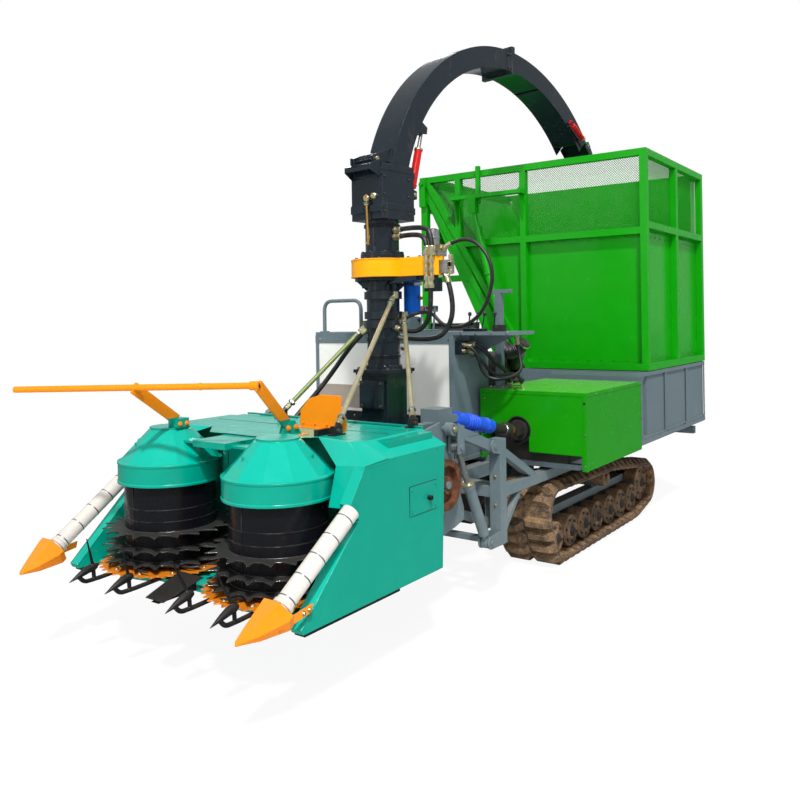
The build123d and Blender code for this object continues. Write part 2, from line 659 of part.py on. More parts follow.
with BuildPart() as header_shell:
    # closed side boxes with a sloping front
    side_outline = ((header_rear_y, header_bottom), (header_rear_y + 30, roof_edge_z), (-1900, 960),
                    notch_top, notch_low, (-2300, 405), (-2290, header_bottom))
    side_inside = ((header_rear_y + 12, header_bottom + 8), (header_rear_y + 38, roof_edge_z - 14),
                   (-1890, roof_edge_z - 16), (-1980, 816), (-1925, 738), (-2270, header_bottom + 8))
    for side in (1, -1):
        add(slab(side_outline, Plane.YZ.offset(side * (side_face + side_box / 2)), side_box))
    # crop housing behind the drums, with the throat that leads back to the chopper
    add(block((-side_face, side_face), (housing_front, housing_rear), (floor_z + 30, roof_z - sheet)))
    add(block((-throat_half, throat_half), (housing_front - 1, header_rear_y - 185), (floor_z + 60, 900)),
        mode=Mode.SUBTRACT)
    for side in (1, -1):
        add(slab(side_inside, Plane.YZ.offset(side * (side_face + side_box / 2)), side_box - 2 * sheet),
            mode=Mode.SUBTRACT)
        add(block((min(side * (throat_half + sheet), side * (side_face - sheet)),
                   max(side * (throat_half + sheet), side * (side_face - sheet))),
                  (housing_front + sheet, housing_rear - sheet), (floor_z + 35, roof_z - 2 * sheet)),
            mode=Mode.SUBTRACT)
    # roof with its sloping edges, and the tongue between the drum caps
    flat_half = header_half - roof_inset
    add(block((-flat_half, flat_half), (roof_front_y, header_rear_y + 45), (roof_z - sheet, roof_z)))
    for side in (1, -1):
        roof_edge = ((side * flat_half, roof_z), (side * header_half, roof_edge_z + 5),
                     (side * header_half, roof_edge_z - 5), (side * side_face, roof_edge_z - 5),
                     (side * flat_half, roof_z - 40))
        add(slab(roof_edge, Plane.XZ.offset(-(roof_front_y + header_rear_y + 45) / 2),
                 header_rear_y + 45 - roof_front_y))
    add(block((-tongue_half, tongue_half), (drum_y - 74, roof_front_y + 2), (roof_z - 35, roof_z - 5)))
    # skids under the housing
    for skid_x in (-480.0, 480.0):
        add(block((skid_x - 60, skid_x + 60), (-2150, header_rear_y - 60), (header_bottom - 40, header_bottom - 5)))
    add(block((-side_face, side_face), (floor_front_y, housing_rear), (header_bottom - 5, floor_z + 9)))
    for side in (1, -1):
        with BuildSketch(Plane.XY.offset(header_bottom)):
            with Locations((side * drum_x, drum_y)):
                Circle(drum_radius + 20)
        extrude(amount=floor_z + 9 - header_bottom)
header_shell.part.label = "header_shell"
export_step(header_shell.part, "parts/header_shell.step")

with BuildPart() as drum_caps:
    for side in (1, -1):
        add(block((min(side * tongue_half, side * 250), max(side * tongue_half, side * 250)),
                  (drum_y - 34, drum_y + 34), (roof_z - 31, roof_z - 19)))
        with BuildSketch(Plane.XZ.offset(-drum_y)):
            with BuildLine():
                Polyline((side * drum_x, cap_band_bottom), (side * (drum_x + cap_radius), cap_band_bottom),
                         (side * (drum_x + cap_radius), cap_band_top), (side * (drum_x + cap_top_radius), cap_top),
                         (side * drum_x, cap_top), close=True)
            make_face()
        revolve(axis=Axis((side * drum_x, drum_y, 0), (0, 0, 1)))
        with BuildSketch(Plane.XZ.offset(-drum_y)):
            with BuildLine():
                Polyline((side * drum_x, cap_band_bottom - 1),
                         (side * (drum_x + cap_radius - sheet), cap_band_bottom - 1),
                         (side * (drum_x + cap_radius - sheet), cap_band_top - 2),
                         (side * (drum_x + cap_top_radius - 4), cap_top - 6),
                         (side * drum_x, cap_top - 6), close=True)
            make_face()
        revolve(axis=Axis((side * drum_x, drum_y, 0), (0, 0, 1)), mode=Mode.SUBTRACT)
        add(rod((side * drum_x, drum_y, cap_top - 110), (side * drum_x, drum_y, cap_top - 3), 50,
                shaft_radius + pin_clear))
drum_caps.part.label = "drum_caps"
export_step(drum_caps.part, "parts/drum_caps.step")

for side_name, side in (("left", 1), ("right", -1)):
    with BuildPart() as feed_drum:
        axis_spot = (side * drum_x, drum_y)
        drum_levels = [(floor_z + 9.5, drum_radius - 17, 20.5), (floor_z + 20, drum_radius, drum_top - floor_z - 20)]
        for level, radius, height in drum_levels:
            with BuildSketch(Plane.XY.offset(level)):
                with Locations(axis_spot):
                    Circle(radius)
            extrude(amount=height)
        with BuildSketch(Plane.XY.offset(floor_z + 26)):
            with Locations(axis_spot):
                Circle(drum_radius - 6)
                Circle(shaft_radius, mode=Mode.SUBTRACT)
        extrude(amount=drum_top - floor_z - 32, mode=Mode.SUBTRACT)
        with BuildSketch(Plane.XY.offset(drum_top - 5)):
            with Locations(axis_spot):
                Circle(shaft_radius)
        extrude(amount=cap_top - 40 - drum_top)
        for level in feed_disc_levels:
            with BuildSketch(Plane.XY.offset(level - 2.5)):
                with Locations(axis_spot):
                    Circle(feed_disc_root)
                    with PolarLocations(feed_disc_root - 4, feed_disc_teeth):
                        Polygon((0, -30), (feed_disc_radius - feed_disc_root + 4, 16),
                                (feed_disc_radius - feed_disc_root - 6, 22), (0, 26), align=None)
            extrude(amount=5)
        with BuildSketch(Plane.XY.offset(saw_z - 2.5)):
            with Locations(axis_spot):
                Circle(saw_radius - 22)
                with PolarLocations(saw_radius - 24, saw_teeth):
                    Polygon((0, -18), (24, 4), (0, 18), align=None)
        extrude(amount=5)
    feed_drum.part.label = "feed_drum_" + side_name
    export_step(feed_drum.part, "parts/feed_drum_" + side_name + ".step")

# row dividers: steel point and cone in front, then the white tube up to the side box
notch_run = Vector(notch_low[0] - notch_top[0], notch_low[1] - notch_top[1])
notch_out = Vector(notch_run.Y, -notch_run.X).normalized()
divider_seat = Vector(*notch_top) + notch_run * 0.37 + notch_out * 1.8
divider_foot = Vector(divider_x + 16, divider_seat.X, divider_seat.Y)
divider_neck = Vector(divider_x + 8, -2393, 504)
divider_dir = (divider_neck - divider_foot).normalized()
with BuildPart() as divider_tubes:
    for side in (1, -1):
        foot = (side * divider_foot.X, divider_foot.Y, divider_foot.Z)
        neck = (side * divider_neck.X, divider_neck.Y, divider_neck.Z)
        add(rod(foot, neck, tube_radius))
divider_tubes.part.label = "divider_tubes"
export_step(divider_tubes.part, "parts/divider_tubes.step")

with BuildPart() as divider_points:
    for side in (1, -1):
        neck = Vector(side * divider_neck.X, divider_neck.Y, divider_neck.Z)
        along = Vector(side * divider_dir.X, divider_dir.Y, divider_dir.Z)
        base = Plane(origin=neck + along * 0.3, z_dir=along)
        with BuildSketch(base):
            Circle(cone_radius)
        extrude(amount=26)
        with BuildSketch(base.offset(26)):
            Circle(cone_radius)
        point = (side * 720, -half_length + tip_round, 434)
        with BuildSketch(Plane(origin=point, z_dir=along)):
            Circle(tip_round)
        loft()
        with Locations(point):
            Sphere(tip_round)
divider_points.part.label = "divider_points"
export_step(divider_points.part, "parts/divider_points.step")

with BuildPart() as crop_guides:
    guide_z = saw_z + 26.0
    for side in (1, -1):
        for guide_x in (205.0, 475.0):
            place = side * guide_x
            joint = (place, guide_joint_y, guide_z)
            add(rod((place, guide_joint_y - 118, saw_z - 8), joint, 17))
            with Locations(joint):
                Sphere(20)
            # bent bar that goes down under the saw to the floor
            add(rod(joint, (place, guide_joint_y + 14, floor_z + 6), 10))
            with Locations((place, guide_joint_y + 14, floor_z + 6)):
                Sphere(10)
            add(rod((place, guide_joint_y + 14, floor_z + 6), (place, floor_front_y + 20, floor_z + 6), 10))
            add(rod(joint, (place - side * 40, guide_joint_y - 60, guide_z + 150), 7))
    add(slab(((guide_joint_y - 18, header_bottom), (floor_front_y, header_bottom), (floor_front_y, 440)),
             Plane.YZ, 50))
    # the bars stop at the rounded front edge of the floor
    add(block((-side_face, side_face), (floor_front_y, floor_front_y + 60), (header_bottom - 10, saw_z + 20)),
        mode=Mode.SUBTRACT)
    for side in (1, -1):
        with BuildSketch(Plane.XY.offset(header_bottom - 10)):
            with Locations((side * drum_x, drum_y)):
                Circle(drum_radius + 20)
        extrude(amount=saw_z + 20 - header_bottom, mode=Mode.SUBTRACT)
crop_guides.part.label = "crop_guides"
export_step(crop_guides.part, "parts/crop_guides.step")

with BuildPart() as header_frame:
    for side in (1, -1):
        plate = side * frame_plate_x
        add(slab(((housing_rear, floor_z + 30), (housing_rear, 1000), (header_pin[0] - 30, 1040),
                  (header_pin[0] + 34, header_pin[1] + 20), (header_pin[0] + 30, header_pin[1] - 50),
                  (header_low_pin[0] + 30, header_low_pin[1] + 26), (header_low_pin[0] + 28, header_low_pin[1] - 36),
                  (header_low_pin[0] - 60, header_low_pin[1] - 60)), Plane.YZ.offset(plate), frame_plate))
        add(rod((plate, *header_pin), (plate + side * 84, *header_pin), pin_radius))
        add(rod((plate, *header_low_pin), (plate - side * 58, *header_low_pin), pin_radius))
        # drawbar strut along the plate
        add(bar((plate - side * 26, housing_rear + 30, 390), (plate - side * 26, header_low_pin[0] - 60, 500), 40, 40))
    add(block((-frame_plate_x + 6, frame_plate_x - 6), (housing_rear, header_rear_y + 77), (840, 900)))
    for side in (1, -1):
        add(block((min(side * 170, side * (frame_plate_x - 6)), max(side * 170, side * (frame_plate_x - 6))),
                  (housing_rear, header_rear_y + 57), (430, 480)))
    # gearbox that takes the shaft, on its bracket
    add(block((gear_x - 60, gear_x + 60), (gear_joint_y - 190, gear_joint_y - 60), (gear_z - 65, gear_z + 65)))
    add(block((gear_x - 20, frame_plate_x), (gear_joint_y - 190, gear_joint_y - 150), (gear_z - 60, gear_z - 20)))
    add(block((gear_x - 30, gear_x + 30), (housing_rear, gear_joint_y - 180), (gear_z - 45, gear_z - 5)))
    add(block((gear_x - 30, gear_x + 30), (housing_rear, header_rear_y + 77), (880, gear_z - 5)))
    for cheek in (1, -1):
        add(block((min(gear_x + cheek * 36, gear_x + cheek * 46), max(gear_x + cheek * 36, gear_x + cheek * 46)),
                  (gear_joint_y - 62, gear_joint_y + 16), (gear_z - 22, gear_z + 22)))
    # stub shaft of the belt pulley
    add(rod((frame_plate_x, pulley_y, pulley_z), (frame_plate_x + 88, pulley_y, pulley_z), 20))
header_frame.part.label = "header_frame"
export_step(header_frame.part, "parts/header_frame.step")

with BuildPart() as belt_pulley:
    with BuildSketch(Plane.YZ.offset(frame_plate_x + 14)):
        with Locations((pulley_y, pulley_z)):
            Circle(pulley_radius)
    extrude(amount=66)
    for groove in (0, 1, 2):
        with BuildSketch(Plane.YZ.offset(frame_plate_x + 24 + 17 * groove)):
            with Locations((pulley_y, pulley_z)):
                Circle(pulley_radius + 1)
                Circle(pulley_radius - 12, mode=Mode.SUBTRACT)
        extrude(amount=9, mode=Mode.SUBTRACT)
    with BuildSketch(Plane.YZ.offset(frame_plate_x + 50)):
        with Locations((pulley_y, pulley_z)):
            Circle(pulley_radius - 34)
            Circle(44, mode=Mode.SUBTRACT)
    extrude(amount=40, mode=Mode.SUBTRACT)
    with BuildSketch(Plane.YZ.offset(frame_plate_x)):
        with Locations((pulley_y, pulley_z)):
            Circle(20 + pin_clear)
    extrude(amount=100, mode=Mode.SUBTRACT)
belt_pulley.part.label = "belt_pulley"
export_step(belt_pulley.part, "parts/belt_pulley.step")

with BuildPart() as push_bar:
    # crop bar across the front and the two flat arms that hold it
    near_end = Vector(330, -2080, 1300)
    far_end = Vector(-750, -2575, 1280)
    add(rod(near_end, far_end, 14.5))
    add(rod(near_end, near_end + (far_end - near_end) * 0.03, 20))
    add(bar((235, -1800, roof_z + 50), near_end, 12, 52))
    add(slab(((-1860, roof_z), (-1720, roof_z), (-1770, roof_z + 76), (-1830, roof_z + 76)), Plane.YZ.offset(235), 24))
    add(bar((-292, drum_y - 20, cap_top + 36), (-200, -2330, 1290), 12, 52))
    add(block((-330, -262), (drum_y - 40, drum_y + 30), (cap_top, cap_top + 44)))
push_bar.part.label = "push_bar"
export_step(push_bar.part, "parts/push_bar.step")

with BuildPart() as feed_guard:
    guard_y = -1530.0
    with BuildSketch(Plane.XZ.offset(-guard_y)):
        with BuildLine():
            Polyline((60, roof_z + 1), (60, roof_z + 90), (120, roof_z + 150), (200, roof_z + 172),
                     (330, roof_z + 172), (330, roof_z + 1), close=True)
        make_face()
    extrude(amount=3, both=True)
    add(block((50, 340), (guard_y + 3, guard_y + 30), (roof_z, roof_z + 60)))
    add(block((50, 340), (guard_y - 20, guard_y + 30), (roof_z, roof_z + 6)))
feed_guard.part.label = "feed_guard"
export_step(feed_guard.part, "parts/feed_guard.step")

# ---------------------------------------------------------------- tower and slew drive
with BuildPart() as tower:
    half = duct_size / 2
    # chopper housing between the header and the duct
    add(block((-170, 170), (housing_rear, tower_y - half - 1), (header_bottom + 40, 760)))
    add(block((-half, half), (tower_y - half - 2, tower_y + half), (450, duct_top)))
    add(block((-130, 130), (tower_y - 130, tower_y + 130), (duct_top, duct_top + 20)))
    add(block((-120, 120), (tower_y - 120, tower_y + 120), (duct_top - 14, duct_top)))
    add(rod((0, tower_y, duct_top + 10), (0, tower_y, housing_bottom - 20), tower_radius, tower_radius - 6))
    add(block((-half + 6, half - 6), (tower_y - half + 6, tower_y + half - 6), (480, duct_top + 21)),
        mode=Mode.SUBTRACT)
    add(block((-half, half), (tower_y - half, tower_y + half), (duct_top + 8, duct_top + 20)))
    add(rod((0, tower_y, duct_top), (0, tower_y, duct_top + 30), tower_radius - 6), mode=Mode.SUBTRACT)
    add(rod((0, tower_y, duct_top + 10), (0, tower_y, duct_top + 40), tower_radius + 12))
tower.part.label = "tower"
export_step(tower.part, "parts/tower.step")

slew_arm_x = 360.0
with BuildPart() as slew_drive:
    with BuildSketch(Plane.XY.offset(housing_bottom)):
        with Locations((0, tower_y)):
            Circle(185)
        with Locations((slew_arm_x / 2, tower_y)):
            Rectangle(slew_arm_x, 130)
        with Locations((slew_arm_x, tower_y)):
            Circle(65)
    extrude(amount=housing_top - housing_bottom)
    with BuildSketch(Plane.XY.offset(housing_bottom - 20)):
        with Locations((0, tower_y)):
            Circle(165)
        with Locations((slew_arm_x / 2, tower_y)):
            Rectangle(slew_arm_x, 110)
        with Locations((85, tower_y + 80)):
            Rectangle(170, 160)
    extrude(amount=20)
    add(rod((slew_arm_x, tower_y, housing_bottom - 90), (slew_arm_x, tower_y, housing_bottom - 18), 52))
slew_drive.part.label = "slew_drive"
export_step(slew_drive.part, "parts/slew_drive.step")

with BuildPart() as slew_motor:
    add(block((slew_arm_x - 45, slew_arm_x + 65), (tower_y - 45, tower_y + 45), (housing_top, housing_top + 26)))
    add(rod((slew_arm_x, tower_y, housing_top + 20), (slew_arm_x, tower_y, housing_top + 150), 40))
slew_motor.part.label = "slew_motor"
export_step(slew_motor.part, "parts/slew_motor.step")

with BuildPart() as oil_filter:
    filter_x = 120.0
    filter_y = tower_y + 130.0
    add(rod((filter_x, filter_y, 1606), (filter_x, filter_y, 1775), 50))
    add(rod((filter_x, filter_y, 1770), (filter_x, filter_y, housing_bottom - 20), 42))
oil_filter.part.label = "oil_filter"
export_step(oil_filter.part, "parts/oil_filter.step")

with BuildPart() as tower_struts:
    for top_x, top_y, top_z, foot_x, foot_y, foot_z in (
        (104, tower_y - 30, 1719, 400, -1650, roof_z + 30),
        (120, tower_y + 40, 1601, 560, -1250, roof_z + 30),
        (-110, tower_y - 20, 1550, -300, -1300, roof_z + 30),
    ):
        add(rod((top_x, top_y, top_z), (foot_x, foot_y, foot_z), 13))
        add(block((foot_x - 12, foot_x + 12), (foot_y - 30, foot_y + 30), (roof_z, roof_z + 44)))
        add(rod((0, tower_y, top_z - 22), (0, tower_y, top_z + 22), tower_radius + 14))
        arm_end = top_x + (18 if top_x > 0 else -18)
        add(block((min(arm_end, 0), max(arm_end, 0)), (top_y - 17, top_y + 17), (top_z - 20, top_z + 20)))
    add(block((330, 354), (-1730, -1640), (roof_z, roof_z + 30)))
    add(rod((0, tower_y, duct_top + 60), (0, tower_y, housing_bottom), tower_radius + 0.3), mode=Mode.SUBTRACT)
tower_struts.part.label = "tower_struts"
export_step(tower_struts.part, "parts/tower_struts.step")

with BuildPart() as slew_ring:
    add(rod((0, tower_y, housing_top + 0.3), (0, tower_y, housing_top + 30), 130))
slew_ring.part.label = "slew_ring"
export_step(slew_ring.part, "parts/slew_ring.step")

head_wall = 6.0
with BuildPart() as spout_head:
    add(rod((0, tower_y, housing_top + 30.3), (0, tower_y, head_bottom + 1), tower_radius + 2, tower_radius - 4))
    add(slab(((head_front, head_bottom), (head_rear, head_bottom), (head_rear, head_top), (head_front, head_top)),
             side_plane(), head_width))
    add(slab(((head_front + head_wall, head_bottom + head_wall), (head_rear - head_wall, head_bottom + head_wall),
              (head_rear - head_wall, head_top + 1), (head_front + head_wall, head_top + 1)),
             side_plane(), head_width - 2 * head_wall), mode=Mode.SUBTRACT)
    add(rod((0, tower_y, head_bottom - 1), (0, tower_y, head_bottom + 20), tower_radius - 4), mode=Mode.SUBTRACT)
    # stiffening bands round the box
    for band_z in (head_bottom + 40, head_top - 70):
        for band_s in (head_front - 5, head_rear + 5):
            add(slab(((band_s - 5, band_z), (band_s + 5, band_z), (band_s + 5, band_z + 40),
                      (band_s - 5, band_z + 40)), side_plane(), head_width))
    # ears of the spout hinge and the bracket of the tilt cylinder
    for ear in (-92.0, 92.0):
        add(slab(((head_front, head_top - 90), (head_front, head_top - 4), (spout_hinge[0] + 22, spout_hinge[1] + 22),
                  (spout_hinge[0] - 22, spout_hinge[1] + 22), (spout_hinge[0] - 22, spout_hinge[1] - 22)),
                 side_plane(ear), 10))
    with BuildSketch(side_plane(-100)):
        with Locations(spout_hinge):
            Circle(8)
    extrude(amount=200)
    for ear in (tilt_offset - 24, tilt_offset + 24):
        add(slab(((head_rear - 2, tilt_base[1] - 40), (tilt_base[0] + 26, tilt_base[1] - 24),
                  (tilt_base[0] + 26, tilt_base[1] + 24), (head_rear - 2, tilt_base[1] + 40)), side_plane(ear), 8))
    add(slab(((head_rear - 2, tilt_base[1] - 40), (head_rear + 8, tilt_base[1] - 40),
              (head_rear + 8, tilt_base[1] + 40), (head_rear - 2, tilt_base[1] + 40)), side_plane(tilt_offset), 56))
    with BuildSketch(side_plane(tilt_offset - 26)):
        with Locations(tilt_base):
            Circle(10)
    extrude(amount=52)
spout_head.part.label = "spout_head"
export_step(spout_head.part, "parts/spout_head.step")

# ---------------------------------------------------------------- spout
bend_s = 1227.0               # middle of both bends, back along the spout
second_centre_z = bend_centre_z + inner_bend - outer_bend


def spout_solid(skin, floor, end_angle, wide):
    """The bent box between the outer skin less skin and the inner skin at depth floor."""
    outer_r, inner_r = inner_bend - skin, inner_bend - floor
    outer_2, inner_2 = outer_bend - skin, outer_bend - floor
    base_rise = spout_base_z - bend_centre_z
    turn = radians(end_angle)
    with BuildPart() as made:
        with BuildSketch(side_plane()):
            with BuildLine():
                outer_foot = (bend_s - (outer_r**2 - base_rise**2) ** 0.5, spout_base_z)
                inner_foot = (bend_s - (inner_r**2 - base_rise**2) ** 0.5, spout_base_z)
                outer_top = (bend_s, bend_centre_z + outer_r)
                inner_top = (bend_s, bend_centre_z + inner_r)
                outer_end = (bend_s + outer_2 * sin(turn), second_centre_z + outer_2 * cos(turn))
                inner_end = (bend_s + inner_2 * sin(turn), second_centre_z + inner_2 * cos(turn))
                RadiusArc(outer_foot, outer_top, outer_r)
                RadiusArc(outer_top, outer_end, outer_2)
                Line(outer_end, inner_end)
                RadiusArc(inner_end, inner_top, -inner_2)
                RadiusArc(inner_top, inner_foot, -inner_r)
                Line(inner_foot, outer_foot)
            make_face()
        extrude(amount=wide / 2, both=True)
    return made.part


spout_end = (bend_s + outer_bend * sin(radians(second_bend_angle)),
             second_centre_z + outer_bend * cos(radians(second_bend_angle)))
with BuildPart() as spout:
    add(spout_solid(0, spout_depth, second_bend_angle, spout_width))
    add(spout_solid(spout_wall, spout_depth - spout_wall, second_bend_angle + 2, spout_width - 2 * spout_wall),
        mode=Mode.SUBTRACT)
    # open foot, and the open underside of the outer stretch
    add(slab(((-60, spout_base_z - 1), (200, spout_base_z - 1), (200, spout_base_z + 12), (-60, spout_base_z + 12)),
             side_plane(), spout_width - 2 * spout_wall), mode=Mode.SUBTRACT)
    opening_start = radians(16)
    reach_in, reach_out = outer_bend - spout_depth - 60, outer_bend - spout_depth + 12
    add(slab(((bend_s + reach_in * sin(opening_start), second_centre_z + reach_in * cos(opening_start)),
              (bend_s + reach_out * sin(opening_start), second_centre_z + reach_out * cos(opening_start)),
              (spout_end[0] - 350, spout_end[1] + 40), (spout_end[0] - 60, spout_end[1] - 80),
              (spout_end[0] - 60, spout_end[1] - 320), (spout_end[0] - 400, spout_end[1] - 200)),
             side_plane(), spout_width - 2 * spout_wall), mode=Mode.SUBTRACT)
    # bolted flange at the top of the bend
    flange_top = bend_centre_z + inner_bend
    for flange_s in (bend_s - 9, bend_s + 9):
        add(slab(((flange_s - 9, flange_top - spout_depth - 26), (flange_s + 9, flange_top - spout_depth - 26),
                  (flange_s + 9, flange_top + 26), (flange_s - 9, flange_top + 26)), side_plane(), spout_width + 52))
    add(slab(((bend_s - 30, flange_top - spout_depth + spout_wall), (bend_s + 30, flange_top - spout_depth + spout_wall),
              (bend_s + 30, flange_top - spout_wall - 1), (bend_s - 30, flange_top - spout_wall - 1)),
             side_plane(), spout_width - 2 * spout_wall), mode=Mode.SUBTRACT)
    # hinge lugs at the foot, eye of the tilt cylinder and knuckles of the flap
    for ear in (-72.0, 72.0):
        add(slab(((spout_hinge[0] - 20, spout_hinge[1] - 14), (spout_hinge[0] - 20, spout_hinge[1] + 18),
                  (spout_hinge[0] + 30, spout_hinge[1] + 40), (34, spout_hinge[1] + 90), (-6, spout_hinge[1]),
                  (spout_hinge[0] + 20, spout_hinge[1] - 14)), side_plane(ear), 10))
    add(slab(((spout_hinge[0] + 20, spout_hinge[1] + 18), (spout_hinge[0] + 30, spout_hinge[1] + 40),
              (22, spout_hinge[1] + 82), (14, spout_hinge[1] + 60)), side_plane(), 150))
    with BuildSketch(side_plane(-110)):
        with Locations(spout_hinge):
            Circle(8 + pin_clear)
    extrude(amount=220, mode=Mode.SUBTRACT)
    for ear in (tilt_offset - 24, tilt_offset + 24):
        add(slab(((tilt_eye[0] - 90, tilt_eye[1] - 26), (tilt_eye[0] - 90, tilt_eye[1] + 90),
                  (tilt_eye[0] + 26, tilt_eye[1] + 20), (tilt_eye[0] + 20, tilt_eye[1] - 20)), side_plane(ear), 8))
    add(slab(((tilt_eye[0] - 60, tilt_eye[1] + 34), (tilt_eye[0] - 60, tilt_eye[1] + 70),
              (tilt_eye[0] - 16, tilt_eye[1] + 44), (tilt_eye[0] - 16, tilt_eye[1] + 34)), side_plane(tilt_offset), 50))
    add(rod(spout_point(*flap_base, spout_width / 2 - 1), spout_point(*flap_base, flap_offset - 12), 18))
    add(rod(spout_point(*flap_base, spout_width / 2), spout_point(*flap_base, flap_offset + 14), 7))
    for ear in (-70.0, 70.0):
        add(slab(((flap_pin[0] - 60, flap_pin[1] + 14), (flap_pin[0] - 40, flap_pin[1] + 46),
                  (flap_pin[0] + 12, flap_pin[1] + 10), (flap_pin[0] + 8, flap_pin[1] - 12),
                  (flap_pin[0] - 20, flap_pin[1] - 6)), side_plane(ear), 10))
    with BuildSketch(side_plane(-86)):
        with Locations(flap_pin):
            Circle(7)
    extrude(amount=172)
spout.part.label = "spout"
export_step(spout.part, "parts/spout.step")

tilt_run = Vector(tilt_eye[0] - tilt_base[0], tilt_eye[1] - tilt_base[1])
tilt_dir = tilt_run / tilt_run.length
tilt_barrel = 300.0


def along_tilt(distance):
    return spout_point(tilt_base[0] + tilt_dir.X * distance, tilt_base[1] + tilt_dir.Y * distance, tilt_offset)


with BuildPart() as tilt_cylinder:
    add(rod(along_tilt(8), along_tilt(56), 14))
    add(rod(along_tilt(50), along_tilt(tilt_barrel), 24))
    add(rod(along_tilt(90), along_tilt(tilt_barrel + 1), 12 + cylinder_clear), mode=Mode.SUBTRACT)
    add(rod(spout_point(*tilt_base, tilt_offset - 18), spout_point(*tilt_base, tilt_offset + 18), 20))
    add(rod(spout_point(*tilt_base, tilt_offset - 30), spout_point(*tilt_base, tilt_offset + 30), 10 + pin_clear),
        mode=Mode.SUBTRACT)
tilt_cylinder.part.label = "tilt_cylinder"
export_step(tilt_cylinder.part, "parts/tilt_cylinder.step")

with BuildPart() as tilt_rod:
    add(rod(along_tilt(155), along_tilt(tilt_run.length - 14), 12))
    add(rod(spout_point(*tilt_eye, tilt_offset - 18), spout_point(*tilt_eye, tilt_offset + 18), 20))
    add(rod(spout_point(*tilt_eye, tilt_offset - 30), spout_point(*tilt_eye, tilt_offset + 30), 10),
        mode=Mode.SUBTRACT)
tilt_rod.part.label = "tilt_rod"
export_step(tilt_rod.part, "parts/tilt_rod.step")

flap_dir = Vector(cos(radians(second_bend_angle)), -sin(radians(second_bend_angle)))
flap_out = Vector(sin(radians(second_bend_angle)), cos(radians(second_bend_angle)))


def flap_place(along, out):
    return (flap_pin[0] + flap_dir.X * along + flap_out.X * out, flap_pin[1] + flap_dir.Y * along + flap_out.Y * out)


flap_width = spout_width + 20
with BuildPart() as spout_flap:
    add(slab((flap_place(18, -4), flap_place(18, 2), flap_place(flap_length, -16), flap_place(flap_length, -22)),
             side_plane(), flap_width))
    for edge in (-flap_width / 2 + 2, flap_width / 2 - 2):
        add(slab((flap_place(18, 2), flap_place(flap_length, -16), flap_place(flap_length, -46),
                  flap_place(16, -70)), side_plane(edge), 4))
    for ear in (-50.0, 50.0):
        add(slab((flap_place(-14, -10), flap_place(-14, 14), flap_place(30, 14), flap_place(30, -8)),
                 side_plane(ear), 12))
    with BuildSketch(side_plane(-130)):
        with Locations(flap_pin):
            Circle(7 + pin_clear)
    extrude(amount=260, mode=Mode.SUBTRACT)
spout_flap.part.label = "spout_flap"
export_step(spout_flap.part, "parts/spout_flap.step")

flap_eye = flap_place(30, -60)
flap_run = Vector(flap_eye[0] - flap_base[0], flap_eye[1] - flap_base[1])
flap_run_dir = flap_run / flap_run.length
flap_barrel = 205.0


def along_flap(distance):
    return spout_point(flap_base[0] + flap_run_dir.X * distance, flap_base[1] + flap_run_dir.Y * distance, flap_offset)


with BuildPart() as flap_cylinder:
    add(rod(along_flap(6), along_flap(40), 9))
    add(rod(along_flap(34), along_flap(flap_barrel), 19))
    add(rod(along_flap(60), along_flap(flap_barrel + 1), 8 + cylinder_clear), mode=Mode.SUBTRACT)
    add(rod(spout_point(*flap_base, flap_offset - 10), spout_point(*flap_base, flap_offset + 10), 14))
    add(rod(spout_point(*flap_base, flap_offset - 30), spout_point(*flap_base, flap_offset + 30), 7 + pin_clear),
        mode=Mode.SUBTRACT)
flap_cylinder.part.label = "flap_cylinder"
export_step(flap_cylinder.part, "parts/flap_cylinder.step")

with BuildPart() as flap_rod:
    add(rod(along_flap(104), along_flap(flap_run.length - 8), 8))
    add(rod(spout_point(*flap_eye, flap_offset - 10), spout_point(*flap_eye, flap_offset + 10), 14))
    add(rod(spout_point(*flap_eye, flap_offset - 30), spout_point(*flap_eye, flap_offset + 30), 8),
        mode=Mode.SUBTRACT)
flap_rod.part.label = "flap_rod"
export_step(flap_rod.part, "parts/flap_rod.step")

# ---------------------------------------------------------------- bin
wall_top_x = -939.0           # upper end of the slanting wall
wall_top_z = 2741.0
wall_foot_x = floor_edge_x + 4    # outer face of the slanting wall at the floor
wall_slope = (wall_top_x - wall_foot_x) / (wall_top_z - bin_bottom)
bin_right_x = -half_width + 30
side_post_y = 1772.0
bin_sheet = 3.0
mesh_thick = 4.0


def wall_x(height):
    """Outer face of the slanting wall at a height."""
    return wall_foot_x + wall_slope * (height - bin_bottom)


